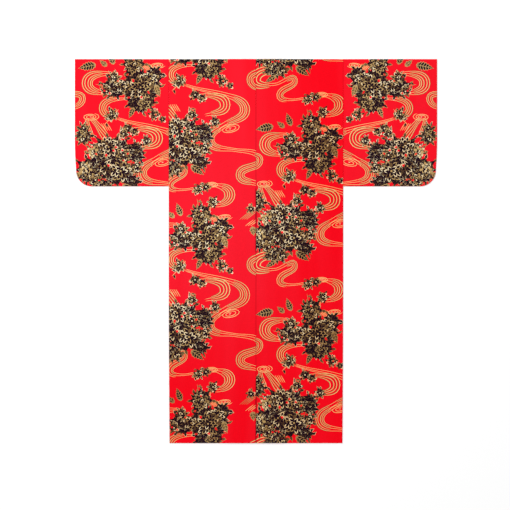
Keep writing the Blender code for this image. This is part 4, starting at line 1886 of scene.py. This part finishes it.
class SleevePanel(ClothPanel):
    """A sleeve: one length of cloth folded at the top, with its lower outer corner rounded."""

    @classmethod
    def cut(cls, left: bool) -> "SleevePanel":
        """Cuts one sleeve.

        Args:
            left: Whether it is the left one.

        Returns:
            The sleeve.
        """
        corner_x = WRIST + SLEEVE_LEAN + SLEEVE_CORNER_RADIUS
        corner_w = SLEEVE_DROP - SLEEVE_CORNER_RADIUS
        outer = []
        for w in steps(0.0, corner_w, CORNER_STEPS):
            share = max(0.0, (w - SLEEVE_LEAN_DEPTH) / (corner_w - SLEEVE_LEAN_DEPTH))
            outer.append((WRIST + SLEEVE_LEAN * share ** 2, w))
        for i in range(1, CORNER_STEPS + 1):
            angle = math.pi - math.pi / 2 * i / CORNER_STEPS
            outer.append((corner_x + SLEEVE_CORNER_RADIUS * math.cos(angle),
                          corner_w + SLEEVE_CORNER_RADIUS * math.sin(angle)))
        back_outer = [(x, -w) for x, w in outer]
        outline = [(SLEEVE_SEAM, -SLEEVE_DROP), (SLEEVE_SEAM, SLEEVE_DROP)] + outer[::-1] + back_outer[1:]
        sewn = [p for p in outer if p[1] >= WRIST_OPENING] + [(SLEEVE_SEAM, SLEEVE_DROP)]
        edges = [
            Edge([(SLEEVE_SEAM, -SLEEVE_DROP), (SLEEVE_SEAM, SLEEVE_DROP)], 0.0004, 0.18, 0.0018),
            Edge(sewn, 0.0004, 0.30),
            Edge([(x, -w) for x, w in sewn], 0.0004, 0.30),
            Edge([(WRIST, -WRIST_OPENING), (WRIST, WRIST_OPENING)], 0.0003, 0.15),
        ]
        return cls(**sided("sleeve", outline, edges, left))

    def stitch_rows(self) -> list[list[Point]]:
        """Lays stitches along the wrist opening.

        Returns:
            The rows on the back and the front, as lines on the flat cloth.
        """
        across = (WRIST + WRIST_ROW) * (1 if self.name == "sleeve_left" else -1)
        near, far = WRIST_ROW_START, WRIST_OPENING
        return [[(across, -far), (across, -near)], [(across, near), (across, far)]]


class OverlapPanel(ClothPanel):
    """An overlap panel: a narrow length sewn to the front's edge, slanted where the collar meets it."""

    @classmethod
    def cut(cls, left: bool) -> "OverlapPanel":
        """Cuts one overlap panel.

        Args:
            left: Whether it is the left one.

        Returns:
            The panel.
        """
        inner = FRONT_EDGE + PIECE_GAP
        tip = (inner + NECK_HALF_WIDTH + PIECE_GAP) / COLLAR_SLOPE
        end = COLLAR_LENGTH + PIECE_GAP
        slant_x = -NECK_HALF_WIDTH - PIECE_GAP + COLLAR_SLOPE * end
        outline = [(inner, tip), (slant_x, end), (OVERLAP_EDGE, end), (OVERLAP_EDGE, LENGTH), (inner, LENGTH)]
        edges = [
            Edge([(inner, tip), (slant_x, end), (OVERLAP_EDGE, end)], 0.0003, 0.5),
            Edge([(OVERLAP_EDGE, end), (OVERLAP_EDGE, LENGTH), (inner, LENGTH)], 0.0003, 0.2),
            Edge([(inner, LENGTH), (inner, tip)], 0.0003, 0.5),
        ]
        under = [] if left else ["overlap_left", "body_left"]
        return cls(**sided("overlap", outline, edges, left), rests_on=under, tile_columns=4, tile_count=4)

    def stitch_rows(self) -> list[list[Point]]:
        """Lays stitches up the free edge and along the hem.

        Returns:
            The rows, as lines on the flat cloth.
        """
        side = 1 if self.name == "overlap_left" else -1
        edge, seam = side * (OVERLAP_EDGE - WRIST_ROW), side * (FRONT_EDGE + ROW_INSET)
        row = LENGTH - HEM_ROW
        return [[(edge, COLLAR_LENGTH + FREE_EDGE_START), (edge, row)], [(edge, row), (seam, row)]]


class CollarBand(ClothPanel):
    """The collar: a long folded band, down both fronts and round the back of the neck."""

    REACH = 0.110

    @classmethod
    def cut(cls) -> "CollarBand":
        """Cuts the collar.

        Returns:
            The collar.
        """
        left, fold = -NECK_HALF_WIDTH, -NECK_HALF_WIDTH + COLLAR_WIDTH_AT_NECK
        end = left + COLLAR_WIDTH_AT_END
        leg = [(fold, 0.0), (end, COLLAR_LENGTH), (left, COLLAR_LENGTH), (left, -COLLAR_WIDTH_AT_NECK)]
        outline = flipped(leg) + leg
        edges = [Edge(outline + outline[:1], 0.0003, 0.3)]
        return cls("collar", outline, PrintedCloth(*PRINT_CENTRES["collar"]), edges,
                   ["body_left", "overlap_left"], COLLAR_CLOTH, -fold, tile_columns=4, tile_count=4)

    def __post_init__(self) -> None:
        """Measures the collar's solid, and each of its legs on its own where they cross."""
        super().__post_init__()
        solid = Solid(self.name)
        span = (-self.REACH, TOP - COLLAR_LENGTH), (self.REACH, TOP)
        self.legs = {side: HeightField(lambda x, y, s=side: self.leg_underside(solid, x, y, s), *span)
                     for side in (-1, 1)}

    @staticmethod
    def on_leg(x: float, y: float, side: int) -> bool:
        """Tells whether a place is on one of the legs.

        Args:
            x: The place across.
            y: The place along.
            side: The leg: -1 is the left one, 1 the right one.

        Returns:
            Whether it is.
        """
        run = TOP - y
        start = -NECK_HALF_WIDTH + COLLAR_SLOPE * run
        width = COLLAR_WIDTH_AT_NECK + (COLLAR_WIDTH_AT_END - COLLAR_WIDTH_AT_NECK) * run / COLLAR_LENGTH
        return start <= -side * x <= start + width

    def leg_underside(self, solid: Solid, x: float, y: float, side: int) -> float | None:
        """Finds the height of one leg's underside.

        Args:
            solid: The collar's solid.
            x: The place across.
            y: The place along.
            side: The leg: -1 is the left one, 1 the right one.

        Returns:
            The height, or None where the leg doesn't reach.
        """
        if not self.on_leg(x, y, side):
            return None
        crossed = side == 1 and self.on_leg(x, y, -1)
        return solid.underside(x, y, 2 if crossed else 0)

    def leaned(self, x: np.ndarray, w: np.ndarray) -> np.ndarray:
        """Place across of the legs, which slope towards each other down the front."""
        return x - np.sign(x) * COLLAR_SLOPE * np.maximum(0.0, w)

    def under_height(self, x: np.ndarray, across: np.ndarray, y: np.ndarray) -> np.ndarray:
        """Height of each leg's outer side, which faces down."""
        return np.where(x < 0, self.legs[-1].at(across, y), self.legs[1].at(across, y))

    def creases(self) -> list[Crease]:
        """No creases: the collar is hidden under the back."""
        return []


class StitchTree:
    """Geometry Nodes that set small stitches along lines."""

    SHORTEST_SHARE, LONGEST_SHARE = 0.85, 1.15

    def __init__(self) -> None:
        """Builds the tree, with the sizes as named inputs."""
        tree = bpy.data.node_groups.new("hand_stitches", "GeometryNodeTree")
        face = tree.interface
        face.new_socket("Geometry", in_out="INPUT", socket_type="NodeSocketGeometry")
        for label, default in (("Spacing", 0.009), ("Stitch Length", 0.0035), ("Thread Radius", 0.00025)):
            face.new_socket(label, in_out="INPUT", socket_type="NodeSocketFloat").default_value = default
        face.new_socket("Seed", in_out="INPUT", socket_type="NodeSocketInt").default_value = 7
        face.new_socket("Thread", in_out="INPUT", socket_type="NodeSocketMaterial")
        face.new_socket("Geometry", in_out="OUTPUT", socket_type="NodeSocketGeometry")
        helper = Helper(tree)
        given, out = helper.add("NodeGroupInput"), helper.add("NodeGroupOutput")
        line = helper.add("GeometryNodeMeshToCurve", Mesh=given.outputs["Geometry"])
        spread = helper.add("GeometryNodeResampleCurve", {"mode": "LENGTH"}, Curve=line.outputs[0],
                            Length=given.outputs["Spacing"])
        bead = helper.add("GeometryNodeMeshUVSphere", Segments=6, Rings=4, Radius=1.0)
        half = helper.math("MULTIPLY", given.outputs["Stitch Length"], 0.5)
        uneven = helper.add("FunctionNodeRandomValue", {"data_type": "FLOAT"}, i2=self.SHORTEST_SHARE,
                            i3=self.LONGEST_SHARE, Seed=given.outputs["Seed"])
        long = helper.math("MULTIPLY", half, uneven.outputs[1])
        size = helper.add("ShaderNodeCombineXYZ", X=given.outputs["Thread Radius"],
                          Y=given.outputs["Thread Radius"], Z=long)
        tangent = helper.add("GeometryNodeInputTangent")
        turn = helper.add("FunctionNodeAlignRotationToVector", {"axis": "Z"}, Vector=tangent.outputs[0])
        rows = helper.add("GeometryNodeInstanceOnPoints", Points=spread.outputs[0], Instance=bead.outputs[0],
                          Rotation=turn.outputs[0], Scale=size.outputs[0])
        real = helper.add("GeometryNodeRealizeInstances", Geometry=rows.outputs[0])
        dressed = helper.add("GeometryNodeSetMaterial", Geometry=real.outputs[0],
                             Material=given.outputs["Thread"])
        tree.links.new(dressed.outputs[0], out.inputs["Geometry"])
        self.tree = tree


@dataclass
class Stitching:
    """Rows of small hand stitches in one piece."""

    panel: ClothPanel
    rows: list[list[Point]]
    spacing: float = 0.009
    length: float = 0.0035

    def build(self, stitches: StitchTree, thread: bpy.types.Material) -> bpy.types.Object:
        """Sews the rows and returns them as one plain mesh.

        Args:
            stitches: The stitches' node tree.
            thread: The thread's material.

        Returns:
            The rows of stitches.
        """
        points, lines = [], []
        for row in self.rows:
            first = len(points)
            for start, end in zip(row, row[1:]):
                count = max(1, math.ceil(math.dist(start, end) / STITCH_LINE_STEP))
                places = np.linspace(start, end, count + 1)[0 if start == row[0] else 1:]
                depth = FRONT_STITCH_DEPTH if start[1] > 0 else STITCH_DEPTH
                points += [tuple(p) for p in self.panel.placed(places, depth)]
            lines += [(i, i + 1) for i in range(first, len(points) - 1)]
        mesh = bpy.data.meshes.new("stitch_lines")
        mesh.from_pydata(points, lines, [])
        guide = in_scene("stitch_lines", mesh)
        modifier = guide.modifiers.new("stitches", "NODES")
        modifier.node_group = stitches.tree
        values = {"Spacing": self.spacing, "Stitch Length": self.length, "Thread": thread}
        for item in stitches.tree.interface.items_tree:
            if item.in_out == "INPUT" and item.name in values:
                modifier[item.identifier] = values[item.name]
        graph = bpy.context.evaluated_depsgraph_get()
        made = bpy.data.meshes.new_from_object(guide.evaluated_get(graph))
        guide.modifiers.remove(modifier)
        bpy.data.objects.remove(guide)
        made.shade_smooth()
        piece = in_scene(f"{self.panel.name}_stitches", made)
        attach(piece, "root")
        return piece


@dataclass
class Studio:
    """Plain pale floor, soft light and a camera straight above."""

    distance: float = 4.37
    lens: float = 80.0
    sensor: float = 36.0
    aim: Point = (-0.0039, -0.0150)
    floor_reach: float = 6.0
    floor_drop: float = 0.0004
    surround: float = 0.90
    lamp_place: tuple[float, float, float] = (-1.5, 2.0, 2.0)
    lamp_size: float = 2.4
    lamp_energy: float = 46.0

    def build(self) -> None:
        """Sets everything up."""
        self.floor()
        self.light()
        self.camera()

    def floor(self) -> None:
        """A wide pale sheet just below the garment."""
        mesh = bpy.data.meshes.new("floor")
        reach = self.floor_reach
        corners = [(-reach, -reach), (reach, -reach), (reach, reach), (-reach, reach)]
        mesh.from_pydata([(x, y, -self.floor_drop) for x, y in corners], [], [(0, 1, 2, 3)])
        floor = in_scene("floor", mesh)
        material = bpy.data.materials.new("pale_floor")
        material.use_nodes = True
        shader = material.node_tree.nodes["Principled BSDF"]
        shader.inputs["Base Color"].default_value = (0.98, 0.98, 0.98, 1.0)
        shader.inputs["Roughness"].default_value = 0.9
        shader.inputs["Specular IOR Level"].default_value = 0.0
        mesh.materials.append(material)

    def light(self) -> None:
        """Even light from all round and a broad soft lamp from the upper left."""
        scene = bpy.context.scene
        world = bpy.data.worlds.new("studio")
        scene.world = world
        world.use_nodes = True
        background = world.node_tree.nodes["Background"]
        background.inputs["Color"].default_value = (1.0, 1.0, 1.0, 1.0)
        background.inputs["Strength"].default_value = self.surround
        lamp = bpy.data.lights.new("window", "AREA")
        lamp.shape = "RECTANGLE"
        lamp.size, lamp.size_y = self.lamp_size, self.lamp_size
        lamp.energy = self.lamp_energy
        holder = in_scene("window", lamp)
        holder.location = self.lamp_place
        holder.rotation_euler = (-holder.location).to_track_quat("-Z", "Y").to_euler()
        scene.view_settings.view_transform = "Standard"
        scene.view_settings.look = "None"

    def camera(self) -> None:
        """A camera straight above."""
        lens = bpy.data.cameras.new("camera")
        lens.lens = self.lens
        lens.sensor_width = self.sensor
        camera = in_scene("camera", lens)
        camera.location = (self.aim[0], self.aim[1], self.distance)
        bpy.context.scene.camera = camera


def main() -> None:
    """Builds every piece of the yukata in order."""
    weave, spread = CottonWeave(), DyeWithPaintedLight()
    dyes = [FINISHES[dye].material(weave, spread) for dye in Dye]
    thread = THREAD.material(weave, spread)
    panels = [OverlapPanel.cut(True), OverlapPanel.cut(False), CollarBand.cut(), SleevePanel.cut(True),
              SleevePanel.cut(False), BodyPanel.cut(True), BodyPanel.cut(False)]
    stitches = StitchTree()
    for panel in panels:
        piece = panel.build(dyes)
        rows = panel.stitch_rows()
        sewn_on = [Stitching(panel, rows).build(stitches, thread)] if rows else []
        panel.dress(piece, sewn_on)
        log.info("%s: %d faces", piece.name, len(piece.data.polygons))
    Studio().build()


if __name__ == "__main__":
    logging.basicConfig(level=logging.INFO, format="%(message)s")
    main()
